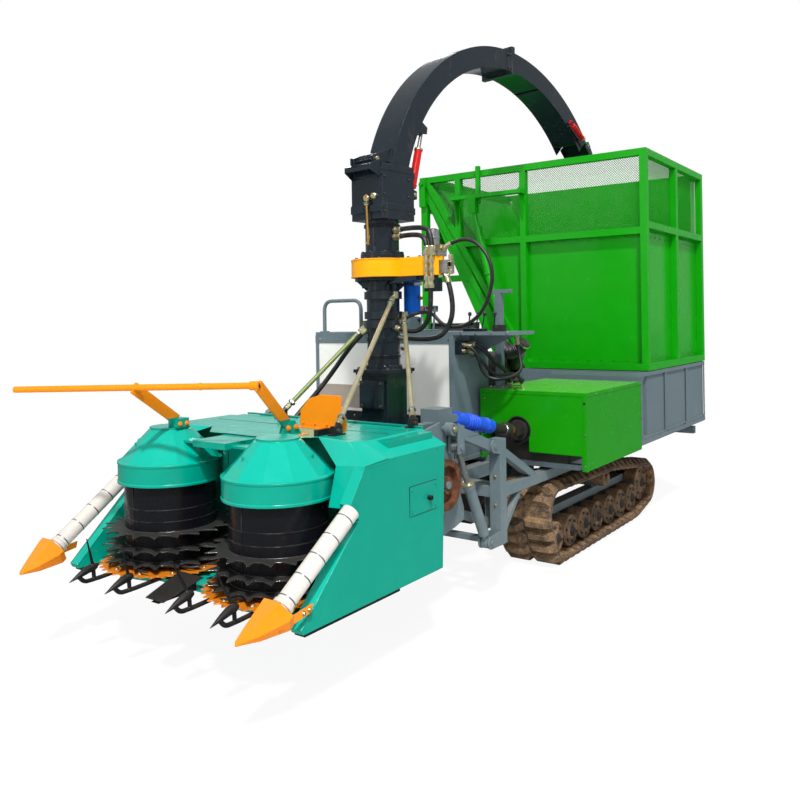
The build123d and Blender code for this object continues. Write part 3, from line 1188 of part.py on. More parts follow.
wall_lean = hypot(1, wall_slope)
with BuildPart() as bin_frame:
    for low_y in (bin_front_y, bin_rear_y - bin_rail):
        span_y = (low_y, low_y + bin_rail)
        middle = low_y + bin_rail / 2
        add(block((bin_right_x, half_width), span_y, (bin_top - bin_rail, bin_top)))
        add(block((floor_edge_x, half_width), span_y, (bin_bottom, bin_bottom + bin_rail)))
        add(block((half_width - bin_rail, half_width), span_y, (bin_bottom, bin_top)))
        add(block((-bin_rail / 2, bin_rail / 2), span_y, (bin_bottom + 40, bin_top - 10)))
        add(block((-620, -570), span_y, (bin_mid_z + 36, bin_top - 10)))
        add(block((wall_x(bin_mid_z) + 10, half_width - 10), span_y, (bin_mid_z - bin_rail / 2, bin_mid_z + bin_rail / 2)))
        add(slab(((wall_x(bin_bottom), bin_bottom), (wall_x(bin_bottom) + bin_rail * wall_lean, bin_bottom),
                  (wall_x(wall_top_z) + bin_rail * wall_lean, wall_top_z), (wall_x(wall_top_z), wall_top_z)),
                 Plane.XZ.offset(-middle), bin_rail))
        # lug with the tipping pivot pin, outside the end frame
        outward = -1 if low_y == bin_front_y else 1
        face = low_y if outward < 0 else low_y + bin_rail
        add(block((tip_pin_x - 30, tip_pin_x + 34), (min(face, face + outward * 8), max(face, face + outward * 8)),
                  (tip_pin_z - 30, bin_top)))
        add(rod((tip_pin_x, face, tip_pin_z), (tip_pin_x, face + outward * 40, tip_pin_z), 14))
        # bracket of the tipping cylinder
        beam_y = face + outward * tip_cylinder_out
        beam_z_low = tip_eye[1] + 86
        for post_x in (-bin_rail / 2, -620):
            reach = (min(face, beam_y + outward * 28), max(face, beam_y + outward * 28))
            add(block((post_x, post_x + bin_rail), reach, (beam_z_low, beam_z_low + 30)))
            add(slab(((face, 2330), (face, beam_z_low), (face + outward * 60, beam_z_low)),
                     Plane.YZ.offset(post_x + bin_rail / 2), 10))
        add(block((-620, bin_rail / 2), (beam_y - 32, beam_y + 32), (beam_z_low, beam_z_low + 30)))
        for cheek in (1, -1):
            cheek_y = beam_y + cheek * 28
            add(block((tip_eye[0] - 34, tip_eye[0] + 34), (cheek_y - 4, cheek_y + 4), (tip_eye[1] - 34, beam_z_low + 4)))
    for low_x, low_z in (
        (bin_right_x, bin_top - bin_rail),
        (half_width - bin_rail, bin_top - bin_rail),
        (half_width - bin_rail, bin_bottom),
        (wall_foot_x, bin_bottom),
        (half_width - bin_rail, bin_mid_z + 15),
    ):
        add(block((low_x, low_x + bin_rail), (bin_front_y, bin_rear_y), (low_z, low_z + bin_rail)))
    add(block((half_width - bin_rail, half_width), (side_post_y - bin_rail / 2, side_post_y + bin_rail / 2),
              (bin_bottom + 10, bin_top - 10)))
    add(slab(((wall_x(bin_mid_z - 25), bin_mid_z - 25), (wall_x(bin_mid_z - 25) + bin_rail * wall_lean, bin_mid_z - 25),
              (wall_x(bin_mid_z + 25) + bin_rail * wall_lean, bin_mid_z + 25), (wall_x(bin_mid_z + 25), bin_mid_z + 25)),
             Plane.XZ.offset(-(bin_front_y + bin_rear_y) / 2), bin_length - 10))
    add(block((-404, -372), (bin_front_y - 30, bin_front_y + 1), (2500, bin_top + 30)))
    add(block((-404, -372), (bin_front_y - tip_cylinder_out, bin_front_y - 20), (beam_z_low, beam_z_low + 30)))
    # ends of the rear bracket reach the rearmost line of the machine
    add(block((-620, bin_rail / 2), (bin_rear_y + tip_cylinder_out + 20, half_length), (beam_z_low + 6, beam_z_low + 24)))
bin_frame.part.label = "bin_frame"
export_step(bin_frame.part, "parts/bin_frame.step")

# solid sheets line the lower half and the floor, on the inner faces of the frame
inner_front = bin_front_y + bin_rail
inner_rear = bin_rear_y - bin_rail
with BuildPart() as bin_panels:
    wall_in = bin_rail * wall_lean
    low_sheet = ((wall_x(bin_bottom + bin_rail) + wall_in, bin_bottom + bin_rail),
                 (half_width - bin_rail, bin_bottom + bin_rail),
                 (half_width - bin_rail, bin_mid_z), (wall_x(bin_mid_z) + wall_in, bin_mid_z))
    add(slab(low_sheet, Plane.XZ.offset(-(inner_front + bin_sheet / 2)), bin_sheet))
    add(slab(low_sheet, Plane.XZ.offset(-(inner_rear - bin_sheet / 2)), bin_sheet))
    add(block((wall_foot_x + bin_rail - 10, half_width - bin_rail), (inner_front, inner_rear),
              (bin_bottom + bin_rail, bin_bottom + bin_rail + bin_sheet)))
    add(block((half_width - bin_rail - bin_sheet, half_width - bin_rail), (inner_front, inner_rear),
              (bin_bottom + bin_rail, bin_mid_z)))
    low_z, high_z = bin_bottom + bin_rail, bin_top - bin_rail
    add(slab(((wall_x(low_z) + wall_in, low_z), (wall_x(low_z) + wall_in + bin_sheet * wall_lean, low_z),
              (wall_x(high_z) + wall_in + bin_sheet * wall_lean, high_z), (wall_x(high_z) + wall_in, high_z)),
             Plane.XZ.offset(-(inner_front + inner_rear) / 2), inner_rear - inner_front))
bin_panels.part.label = "bin_panels"
export_step(bin_panels.part, "parts/bin_panels.step")

with BuildPart() as bin_mesh:
    mesh_low = bin_mid_z + 0.5
    wall_in = (bin_rail + bin_sheet) * wall_lean + 0.5
    high_sheet = ((wall_x(mesh_low) + wall_in, mesh_low), (half_width - bin_rail, mesh_low),
                  (half_width - bin_rail, bin_top - 4), (wall_x(bin_top - 4) + wall_in, bin_top - 4))
    add(slab(high_sheet, Plane.XZ.offset(-(inner_front + mesh_thick / 2)), mesh_thick))
    add(slab(high_sheet, Plane.XZ.offset(-(inner_rear - mesh_thick / 2)), mesh_thick))
    add(block((half_width - bin_rail - mesh_thick, half_width - bin_rail), (inner_front, inner_rear),
              (mesh_low, bin_top - 4)))
bin_mesh.part.label = "bin_mesh"
export_step(bin_mesh.part, "parts/bin_mesh.step")

stand_clear = 8.0
with BuildPart() as bin_stand:
    lean_out = stand_clear * wall_lean
    beam_out = lean_out + 50 * wall_lean
    for low_y in (bin_front_y + 2, bin_rear_y - 52):
        middle = low_y + 25
        outward = -1 if low_y < side_post_y else 1
        add(slab(((wall_x(bin_bottom) - lean_out - 20, box_top), (wall_x(bin_bottom) - beam_out - 20, box_top),
                  (wall_x(2560) - beam_out, 2560), (wall_x(2560) - lean_out, 2560)),
                 Plane.XZ.offset(-middle), 50))
        add(block((-half_width + 20, -half_width + 80), (low_y, low_y + 50), (box_top, 2600)))
        add(block((-half_width + 20, wall_x(1900) - lean_out - 40), (low_y, low_y + 50), (1880, 1930)))
        face = low_y - 2 if outward < 0 else low_y + 52
        ear = (min(face + outward * 12, face + outward * 24), max(face + outward * 12, face + outward * 24))
        add(block((-half_width + 20, -half_width + 80), (min(low_y + 25, face + outward * 24),
                  max(low_y + 25, face + outward * 24)), (2520, 2580)))
        with BuildSketch(Plane.XZ.offset(-ear[0])):
            with Locations((tip_pin_x, tip_pin_z)):
                Circle(32)
            with Locations(((-half_width + 50 + tip_pin_x) / 2, (2530 + tip_pin_z) / 2)):
                Rectangle(60, tip_pin_z - 2530)
        extrude(amount=-12)
        with BuildSketch(Plane.XZ.offset(-face)):
            with Locations((tip_pin_x, tip_pin_z)):
                Circle(14 + pin_clear)
        extrude(amount=-60 * outward, mode=Mode.SUBTRACT)
        # foot of the tipping cylinder
        foot_y = (bin_front_y - tip_cylinder_out) if outward < 0 else (bin_rear_y + tip_cylinder_out)
        foot_face = bin_front_y - 10 if outward < 0 else bin_rear_y - 20
        for cheek in (1, -1):
            cheek_y = foot_y + cheek * 24
            add(block((tip_base[0] - 40, tip_base[0] + 40), (cheek_y - 4, cheek_y + 4), (tip_base[1] - 90, tip_base[1] + 30)))
        add(block((tip_base[0] - 40, tip_base[0] + 40), (min(foot_face, foot_y + outward * 28),
                  max(foot_face, foot_y + outward * 28)), (tip_base[1] - 130, tip_base[1] - 80)))
        add(rod((tip_base[0], foot_y - 30, tip_base[1]), (tip_base[0], foot_y + 30, tip_base[1]), pin_radius))
    add(block((-half_width + 20, -half_width + 80), (bin_front_y + 10, bin_rear_y - 10), (2480, 2530)))
    add(block((-half_width + 20, -half_width + 80), (bin_front_y + 10, bin_rear_y - 10), (box_top, box_top + 50)))
bin_stand.part.label = "bin_stand"
export_step(bin_stand.part, "parts/bin_stand.step")

tip_run = Vector(tip_eye[0] - tip_base[0], tip_eye[1] - tip_base[1])
tip_dir = tip_run / tip_run.length
tip_barrel = 1200.0


def along_tip(distance, place_y):
    return (tip_base[0] + tip_dir.X * distance, place_y, tip_base[1] + tip_dir.Y * distance)


tip_cylinder_ys = (bin_front_y - tip_cylinder_out, bin_rear_y + tip_cylinder_out)
with BuildPart() as tip_cylinders:
    for place_y in tip_cylinder_ys:
        add(rod(along_tip(20, place_y), along_tip(70, place_y), 16))
        add(rod(along_tip(60, place_y), along_tip(tip_barrel, place_y), 30))
        add(rod(along_tip(tip_barrel - 24, place_y), along_tip(tip_barrel, place_y), 33))
        add(rod(along_tip(90, place_y), along_tip(tip_barrel + 1, place_y), 19 + cylinder_clear), mode=Mode.SUBTRACT)
        add(rod((tip_base[0], place_y - 18, tip_base[1]), (tip_base[0], place_y + 18, tip_base[1]), 28))
        add(rod((tip_base[0], place_y - 40, tip_base[1]), (tip_base[0], place_y + 40, tip_base[1]),
                pin_radius + pin_clear), mode=Mode.SUBTRACT)
tip_cylinders.part.label = "tip_cylinders"
export_step(tip_cylinders.part, "parts/tip_cylinders.step")

with BuildPart() as tip_rods:
    for place_y in tip_cylinder_ys:
        add(rod(along_tip(110, place_y), along_tip(tip_run.length - 20, place_y), 19))
        add(rod((tip_eye[0], place_y - 16, tip_eye[1]), (tip_eye[0], place_y + 16, tip_eye[1]), 28))
        add(rod((tip_eye[0], place_y - 40, tip_eye[1]), (tip_eye[0], place_y + 40, tip_eye[1]), pin_radius + 1),
            mode=Mode.SUBTRACT)
tip_rods.part.label = "tip_rods"
export_step(tip_rods.part, "parts/tip_rods.step")

# ---------------------------------------------------------------- drive shaft to the header
shaft_start = Vector(pto_x, pto_pivot_y, pto_z)
shaft_end = Vector(gear_x, gear_joint_y, gear_z)
shaft_dir = (shaft_end - shaft_start).normalized()
shaft_length = (shaft_end - shaft_start).length
with BuildPart() as pto_tube:
    add(rod(shaft_start - Vector(26, 0, 0), shaft_start + Vector(26, 0, 0), 26))
    add(rod(shaft_start - Vector(31.7, 0, 0), shaft_start + Vector(31.7, 0, 0), 9))
    add(rod(shaft_start + shaft_dir * 10, shaft_start + shaft_dir * 80, 24))
    add(rod(shaft_start + shaft_dir * 70, shaft_start + shaft_dir * 440, 30))
    add(rod(shaft_start + shaft_dir * 66, shaft_start + shaft_dir * 110, 44))
pto_tube.part.label = "pto_tube"
export_step(pto_tube.part, "parts/pto_tube.step")

with BuildPart() as pto_sleeve:
    add(rod(shaft_start + shaft_dir * 260, shaft_start + shaft_dir * (shaft_length - 60), 42))
    add(rod(shaft_start + shaft_dir * (shaft_length - 70), shaft_end - shaft_dir * 8, 24))
    add(rod(shaft_end - Vector(24, 0, 0), shaft_end + Vector(24, 0, 0), 26))
    add(rod(shaft_start + shaft_dir * 250, shaft_start + shaft_dir * (shaft_length - 80), 30 + cylinder_clear),
        mode=Mode.SUBTRACT)
pto_sleeve.part.label = "pto_sleeve"
export_step(pto_sleeve.part, "parts/pto_sleeve.step")
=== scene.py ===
"""Tracked forage harvester: finishes, soft parts, hoses and fittings over the CAD frame."""

from math import cos, hypot, pi, radians, sin

import bpy
import bmesh
from mathutils import Matrix, Vector


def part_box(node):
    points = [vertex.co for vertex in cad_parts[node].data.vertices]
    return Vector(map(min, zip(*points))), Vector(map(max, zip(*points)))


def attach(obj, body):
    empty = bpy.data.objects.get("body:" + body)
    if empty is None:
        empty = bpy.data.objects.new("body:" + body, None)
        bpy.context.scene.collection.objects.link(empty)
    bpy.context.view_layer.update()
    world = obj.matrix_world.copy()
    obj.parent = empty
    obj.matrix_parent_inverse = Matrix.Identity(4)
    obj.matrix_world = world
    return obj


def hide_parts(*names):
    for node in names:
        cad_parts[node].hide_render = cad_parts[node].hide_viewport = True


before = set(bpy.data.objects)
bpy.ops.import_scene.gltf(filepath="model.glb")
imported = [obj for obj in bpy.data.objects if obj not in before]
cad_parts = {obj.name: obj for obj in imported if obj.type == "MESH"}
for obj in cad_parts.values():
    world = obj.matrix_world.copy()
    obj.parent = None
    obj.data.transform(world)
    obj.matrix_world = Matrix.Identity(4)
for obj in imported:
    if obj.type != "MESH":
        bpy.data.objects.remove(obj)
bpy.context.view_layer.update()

bl_info = {
    "name": "Tracked forage harvester",
    "version": (1, 0, 0),
    "blender": (4, 5, 0),
    "location": "View3D > Sidebar > Harvester",
    "description": "Finishes, tracks, mesh sides, seat, hoses and fittings of a small tracked forage harvester",
    "category": "Add Mesh",
}

# ---------------------------------------------------------------- places taken from the frame, in metres
LEFT = 1                      # the machine's left side is +X
RIGHT = -1
SIDES = (LEFT, RIGHT)
SIDE_WORDS = ((LEFT, "left"), (RIGHT, "right"))
UP = Vector((0, 0, 1))
FRONT = Vector((0, -1, 0))
TOWER_Y = -0.747
TOWER_RADIUS = 0.098
DRUM_X = 0.369
DRUM_Y = -2.006
DRUM_RADIUS = 0.217
TRACK_X = 0.541
TRACK_WIDTH = 0.400
BELT_THICK = 0.022
ROLLER_Y = [0.152 + step * 1.348 / 6 for step in range(7)]
ROLLER_Z = 0.163
# wheels that the belt runs round: y, z and outer radius of the belt there
LOOP_WHEELS = (
    (0.092, 0.352, 0.155),
    (1.010, 0.402, 0.0865),
    (1.722, 0.242, 0.160),
    (0.152, 0.163, 0.128),
    (1.500, 0.163, 0.128),
)
HEAD_TURN = radians(-6)       # the head and spout stand turned about the tower
SHAFT_X, SHAFT_Z = 0.525, 0.871     # where the drive shaft enters the engine cover
# the tower's struts: upper end and foot of each
STRUTS = (
    ((0.104, TOWER_Y - 0.03, 1.719), (0.40, -1.65, 1.065)),
    ((0.120, TOWER_Y + 0.04, 1.601), (0.56, -1.25, 1.065)),
    ((-0.110, TOWER_Y - 0.02, 1.550), (-0.30, -1.30, 1.065)),
)


def low_high(node):
    """Lowest and highest corner of a CAD node as vectors."""
    low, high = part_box(node)
    return Vector(low), Vector(high)


def on_spout(along, height, across=0.0):
    """A place on the spout: back from the tower, up, and to its left."""
    spot = Matrix.Rotation(HEAD_TURN, 3, "Z") @ Vector((across, along, 0))
    return Vector((spot.x, spot.y + TOWER_Y, height))


def display(red, green, blue):
    """A colour as paint charts give it, 0 to 255, in scene-linear values."""
    return tuple(
        part / 12.92 if part <= 0.04045 else ((part + 0.055) / 1.055) ** 2.4
        for part in (red / 255, green / 255, blue / 255)
    )


# ---------------------------------------------------------------- node trees
class Value:
    """A node socket that can stand in a formula."""

    def __init__(self, tree, socket):
        self.tree = tree
        self.socket = socket

    def __add__(self, other):
        return self.tree.math("ADD", self, other)

    def __sub__(self, other):
        return self.tree.math("SUBTRACT", self, other)

    def __rsub__(self, other):
        return self.tree.math("SUBTRACT", other, self)

    def __mul__(self, other):
        return self.tree.math("MULTIPLY", self, other)

    __radd__ = __add__
    __rmul__ = __mul__

    def ramp(self, low, high):
        """0 below low, 1 above high, smooth in between."""
        node = self.tree.add("ShaderNodeMapRange", {"Value": self, "From Min": low, "From Max": high},
                             interpolation_type="SMOOTHSTEP")
        return Value(self.tree, node.outputs["Result"])

    def part(self, axis):
        """One part of a vector: 0, 1 or 2."""
        node = self.tree.add("ShaderNodeSeparateXYZ", {0: self})
        return Value(self.tree, node.outputs[axis])


class Nodes:
    """Adds nodes to a tree: settings first, then values and links."""

    def __init__(self, tree):
        self.tree = tree

    def add(self, kind, values=None, **settings):
        node = self.tree.nodes.new(kind)
        for name, value in settings.items():
            setattr(node, name, value)
        for key, value in (values or {}).items():
            if isinstance(value, Value):
                self.tree.links.new(value.socket, node.inputs[key])
            else:
                node.inputs[key].default_value = value
        return node

    def out(self, kind, values=None, output=0, **settings):
        """One output of a new node."""
        return Value(self, self.add(kind, values, **settings).outputs[output])

    def math(self, kind, *terms, clamp=False):
        """One step of a formula on values and numbers."""
        return self.out("ShaderNodeMath", dict(enumerate(terms)), operation=kind, use_clamp=clamp)

    def place(self):
        """The place on the piece, in metres in the machine's frame."""
        return self.out("ShaderNodeTexCoord", output="Object")

    def noise(self, scale, detail=3.0, roughness=0.55, stretch=(1, 1, 1)):
        """Noise of so many lumps a metre, 0 to 1, centred on 0.5."""
        spot = self.out("ShaderNodeMapping", {"Vector": self.place(), "Scale": stretch})
        return self.out("ShaderNodeTexNoise", {"Vector": spot, "Scale": scale, "Detail": detail,
                                               "Roughness": roughness})

    def mix(self, factor, first, second):
        """A colour between two colours."""
        node = self.tree.nodes.new("ShaderNodeMix")
        node.data_type = "RGBA"
        for socket, value in zip((node.inputs[0], node.inputs[6], node.inputs[7]), (factor, first, second)):
            if isinstance(value, Value):
                self.tree.links.new(value.socket, socket)
            else:
                socket.default_value = value if isinstance(value, (int, float)) else (*value[:3], 1)
        return Value(self, node.outputs[2])

    def scaled(self, colour, factor):
        """A colour brightened or darkened by a factor."""
        node = self.add("ShaderNodeVectorMath", {0: colour}, operation="SCALE")
        self.tree.links.new(factor.socket, node.inputs["Scale"])
        return Value(self, node.outputs[0])

    def facing_up(self):
        """1 on level tops, 0 on upright and hanging faces."""
        normal = self.out("ShaderNodeNewGeometry", output="Normal")
        return normal.part(2).ramp(0.1, 0.95)

    def edges(self, radius):
        """1 on sharp outer edges, 0 on flat faces, with the rounded normal that goes with it."""
        rounded = self.out("ShaderNodeBevel", {"Radius": radius}, samples=4)
        normal = self.out("ShaderNodeNewGeometry", output="Normal")
        same = self.out("ShaderNodeVectorMath", {0: rounded, 1: normal},
                        operation="DOT_PRODUCT", output="Value")
        return self.math("MULTIPLY", 1 - same, 6.0, clamp=True), rounded

    def bump(self, height, strength, normal=None, distance=0.001):
        """A normal roughened by a height."""
        values = {"Height": height, "Strength": strength, "Distance": distance}
        if normal is not None:
            values["Normal"] = normal
        return self.out("ShaderNodeBump", values)

    def surface(self, **inputs):
        """A Principled surface whose inputs are named with _ for a space."""
        values = {name.replace("_", " "): value if isinstance(value, (Value, int, float)) else (*value, 1)
                  for name, value in inputs.items()}
        shader = self.add("ShaderNodeBsdfPrincipled", values)
        self.add("ShaderNodeOutputMaterial", {"Surface": Value(self, shader.outputs[0])})


def new_material(name):
    """An empty material and its node tree."""
    material = bpy.data.materials.new(name)
    material.use_nodes = True
    material.node_tree.nodes.clear()
    return material, Nodes(material.node_tree)


# ---------------------------------------------------------------- finishes
DUST = display(170, 160, 140)
RUST = display(120, 66, 34)
BARE = display(150, 148, 142)


def enamel(name, colour, gloss=0.28, wear=0.5, dirt=0.25, ripple=0.0, under=BARE, peel=0.25, second=None,
           shine=0.2):
    """Sprayed enamel on steel: uneven tone, chipped edges, dust on tops and thin sheets that ripple.

    second is (colour, mask): another colour where the mask is 1, its mask a function of the tree; for some
    finishes it is a second coat of paint, for the teal and the cover green it is a lighter colour on level tops
    that is painted light from above."""
    material, tree = new_material(name)
    broad = tree.noise(1.6, 2.0)
    cloud = tree.noise(11.0, 6.0, 0.65)
    grain = tree.noise(420.0, 2.0)
    edge, rounded = tree.edges(0.0035)
    streak = tree.noise(9.0, 4.0, 0.7, stretch=(6, 6, 0.6))
    chipped = (edge * (cloud * 1.5 + grain * 0.4 - 0.15)).ramp(0.55 + 0.3 * (1 - wear), 0.85) * wear
    scuffed = (cloud * 0.55 + streak * 0.5).ramp(0.56, 0.78) * (0.5 * wear)
    height = tree.place().part(2)
    low_down = 1 - height.ramp(0.25, 1.1)
    dusty = ((cloud * 0.5 + streak * 0.3) + tree.facing_up() * 0.28 + low_down * 0.22).ramp(0.42, 0.95) * dirt
    # painted light on the teal and the cover green: their second colour is a lighter tone on level tops; on
    # other finishes it is a second coat of paint
    coat_and_lit_tops = (*colour,) if second is None else tree.mix(second[1](tree), tuple(colour), second[0])
    tone = tree.scaled(coat_and_lit_tops, broad * 0.16 + cloud * 0.14 + 0.82)
    tone = tree.mix(scuffed * 0.35, tone, DUST)
    tone = tree.mix(dusty, tone, DUST)
    tone = tree.mix(chipped, tone, under)
    normal = tree.bump(grain + cloud * 0.6, peel, rounded, 0.0004)
    if ripple:
        normal = tree.bump(tree.noise(2.6, 1.5), ripple, normal, 0.03)
    tree.surface(Base_Color=tone, Roughness=scuffed * 0.25 + dusty * 0.5 + cloud * 0.16 + (gloss - 0.08),
                 Metallic=chipped * 0.7, Normal=normal, Coat_Weight=(1 - dusty) * shine * 0.3,
                 Coat_Roughness=0.08, Specular_IOR_Level=shine)
    return material


def bare_metal(name, colour, rough=0.32, rusted=0.15, grime=0.3):
    """Machined, plated or cast metal with oily grime and some rust."""
    material, tree = new_material(name)
    cloud = tree.noise(26.0, 6.0, 0.62)
    grain = tree.noise(300.0, 3.0)
    edge, rounded = tree.edges(0.002)
    rust = (cloud * 0.75 + grain * 0.3).ramp(0.68 - 0.35 * rusted, 0.86 - 0.2 * rusted) * min(1.0, rusted * 2.2)
    dirty = tree.noise(14.0, 5.0, 0.7).ramp(0.45, 0.75) * grime
    tone = tree.scaled((*colour,), cloud * 0.5 + edge * 0.35 + 0.68)
    tone = tree.mix(dirty, tone, (0.02, 0.018, 0.015))
    tone = tree.mix(rust, tone, RUST)
    tree.surface(Base_Color=tone, Metallic=0.9 - rust * 0.75 - dirty * 0.4,
                 Roughness=cloud * 0.2 + rust * 0.4 + dirty * 0.25 + (rough - 0.1),
                 Normal=tree.bump(grain + cloud, 0.3, rounded, 0.0006))
    return material


def moulded(name, colour, rough=0.55, grain_scale=260.0, dirt=0.2, bump=0.3):
    """Rubber, vinyl or moulded plastic with fine grain and rubbed dust."""
    material, tree = new_material(name)
    cloud = tree.noise(18.0, 5.0, 0.65)
    grain = tree.noise(grain_scale, 3.0)
    dusty = (cloud + tree.facing_up() * 0.15).ramp(0.48, 0.85) * dirt
    tone = tree.mix(dusty, tree.scaled((*colour,), cloud * 0.4 + 0.8), DUST)
    tree.surface(Base_Color=tone, Roughness=cloud * 0.2 + dusty * 0.3 + (rough - 0.1),
                 Normal=tree.bump(grain, bump, distance=0.0006))
    return material


def mud_rubber(name, colour, crest, cover):
    """Rubber under dried mud, cover being how much of it is muddy."""
    material, tree = new_material(name)
    cloud = tree.noise(10.0, 7.0, 0.7)
    crumb = tree.noise(95.0, 5.0, 0.7)
    edge, rounded = tree.edges(0.004)
    muddy = (cloud * 0.7 + crumb * 0.5 + edge * 0.25).ramp(0.82 - cover * 0.55, 1.0 - cover * 0.3)
    tone = tree.mix(muddy, colour, tree.scaled((*crest,), crumb * 0.9 + 0.5))
    tree.surface(Base_Color=tone, Roughness=muddy * 0.25 + crumb * 0.15 + 0.58,
                 Normal=tree.bump(crumb * 1.2 + muddy, 0.7, rounded, 0.003))
    return material


def drum_finish(name, look):
    """Feed drum: glossy black shell, dark toothed discs and the painted saw at the bottom."""
    material, tree = new_material(name)
    height = tree.place().part(2)
    saw = height.ramp(0.4245, 0.4255) * (1 - height.ramp(0.4307, 0.4317))
    cloud = tree.noise(24.0, 6.0, 0.65)
    edge, rounded = tree.edges(0.003)
    disc = tree.facing_up()
    worn = (edge * (cloud + 0.35)).ramp(0.35, 0.8)
    tone = tree.mix(disc * 0.8, (0.005, 0.005, 0.007), tree.scaled(display(66, 64, 62), cloud * 0.9 + 0.4))
    tone = tree.mix(saw * tree.math("MINIMUM", cloud * 0.6 + 0.5, 1.0), tone, tuple(look.orange))
    tone = tree.mix(worn, tone, BARE)
    tree.surface(Base_Color=tone, Metallic=worn * 0.8 + disc * 0.25,
                 Roughness=cloud * 0.22 + disc * 0.25 + 0.14,
                 Normal=tree.bump(cloud, 0.3, rounded, 0.0008), Specular_IOR_Level=0.35)
    return material


def below(low, high):
    """A mask that is 1 under the height low and 0 over the height high."""
    return lambda tree: 1 - tree.place().part(2).ramp(low, high)


def on_clamps(tree):
    """1 on the collars close round the tower."""
    place = tree.place()
    x, y = place.part(0), place.part(1) - TOWER_Y
    return 1 - tree.math("POWER", x * x + y * y, 0.5).ramp(0.122, 0.124)


def on_table_and_side(tree):
    """1 on the table top, its edge and the console's left side."""
    place = tree.place()
    return tree.math("MAXIMUM", place.part(2).ramp(1.452, 1.454), place.part(0).ramp(0.214, 0.217))


def strut_finish(name, look):
    """Yellow zinc struts with painted clamps round the tower and black feet; the right strut, behind the tower,
    is coloured a dull dark green that is painted shade.
    """
    material, tree = new_material(name)
    clamp = on_clamps(tree)
    foot = below(1.112, 1.114)(tree)
    # painted shade: the right strut stands behind the tower, so it is coloured dull dark green and not metallic
    shaded_right_strut = 1 - tree.place().part(0).ramp(-0.093, -0.090)
    cloud = tree.noise(26.0, 6.0, 0.62)
    grime = tree.noise(14.0, 5.0, 0.7).ramp(0.45, 0.8) * 0.25
    zinc = tree.scaled(display(222, 210, 172), cloud * 0.4 + 0.78)
    rods = tree.mix(shaded_right_strut, tree.mix(grime, zinc, RUST), display(112, 128, 62))
    tone = tree.mix(foot, tree.mix(clamp, rods, tuple(look.slate)), (0.010, 0.010, 0.011))
    tree.surface(Base_Color=tone, Metallic=(1 - clamp) * (1 - foot) * (1 - shaded_right_strut) * 0.8,
                 Roughness=cloud * 0.2 + grime * 0.4 + 0.22,
                 Normal=tree.bump(cloud, 0.3, tree.edges(0.002)[1], 0.0006))
    return material


MATERIALS = {}


def make_materials(look):
    """Every finish, by a short name that the pieces ask for."""
    MATERIALS.update(
        # teal: the lighter teal on level tops is painted light falling from above
        teal=enamel("teal_enamel", look.teal, 0.18, 0.08, 0.0, 0.03, shine=0.35,
                    second=(display(0, 176, 154), Nodes.facing_up)),
        orange=enamel("orange_enamel", look.orange, 0.32, 0.25, 0.08),
        bar=enamel("bar_enamel", look.orange, 0.32, 0.25, 0.08, second=(tuple(look.teal), below(1.118, 1.122))),
        bin_green=enamel("bin_green_enamel", look.bin_green, 0.30, 0.12, 0.03),
        bin_sheet=enamel("bin_sheet_enamel", look.bin_green, 0.24, 0.05, 0.03, 0.22),
        # cover green: the lighter green on level tops is painted light falling from above
        cover_green=enamel("cover_green_enamel", look.cover_green, 0.25, 0.06, 0.0, 0.05,
                           second=(display(92, 190, 62), Nodes.facing_up)),
        grey=enamel("grey_enamel", look.frame_grey, 0.42, 0.35, 0.25),
        slate=enamel("slate_enamel", look.slate, 0.16, 0.5, 0.03, 0.06,
                     under=display(120, 128, 132), shine=0.4),
        yellow=enamel("yellow_enamel", look.yellow, 0.32, 0.25, 0.06,
                      second=(tuple(look.slate), below(1.821, 1.824))),
        red=enamel("red_enamel", look.red, 0.26, 0.3, 0.15),
        white=enamel("white_enamel", display(214, 209, 202), 0.4, 0.25, 0.25, under=display(130, 120, 105)),
        panel=enamel("console_enamel", display(236, 236, 230), 0.34, 0.15, 0.06,
                     second=(tuple(look.frame_grey), on_table_and_side)),
        struts=strut_finish("struts", look),
        black=enamel("black_enamel", (0.008, 0.008, 0.010), 0.28, 0.35, 0.05),
        blue=moulded("blue_guard", display(24, 84, 214), 0.35, 200.0, 0.2),
        filter=enamel("filter_blue", display(0, 92, 196), 0.24, 0.1, 0.08),
        zinc=bare_metal("yellow_zinc", display(214, 204, 166), 0.3, 0.04, 0.12),
        steel=bare_metal("bright_steel", display(186, 186, 184), 0.24, 0.05, 0.15),
        brass=bare_metal("brass", display(196, 152, 78), 0.3, 0.05, 0.3),
        rust=bare_metal("rusty_iron", display(128, 92, 70), 0.6, 0.75, 0.25),
        iron=bare_metal("dark_iron", display(92, 88, 84), 0.5, 0.25, 0.4),
        wheel=mud_rubber("muddy_wheels", display(62, 54, 48), display(156, 122, 88), 0.7),
        belt=mud_rubber("belt_rubber", display(50, 43, 38), look.mud, 0.6),
        lug=mud_rubber("lug_rubber", display(64, 53, 44), look.mud, 0.7),
        rubber=moulded("hose_rubber", (0.010, 0.010, 0.011), 0.42, 160.0, 0.12),
        vinyl=moulded("seat_vinyl", (0.018, 0.018, 0.019), 0.42, 520.0, 0.12, 0.6),
        plastic=moulded("black_plastic", (0.014, 0.014, 0.015), 0.45, 300.0, 0.15),
        gauge=moulded("gauge_face", display(210, 212, 208), 0.3, 60.0, 0.05, 0.0),
        sign=moulded("blank_sign", display(158, 148, 136), 0.4, 80.0, 0.1, 0.0),
        drum=drum_finish("feed_drum", look),
    )


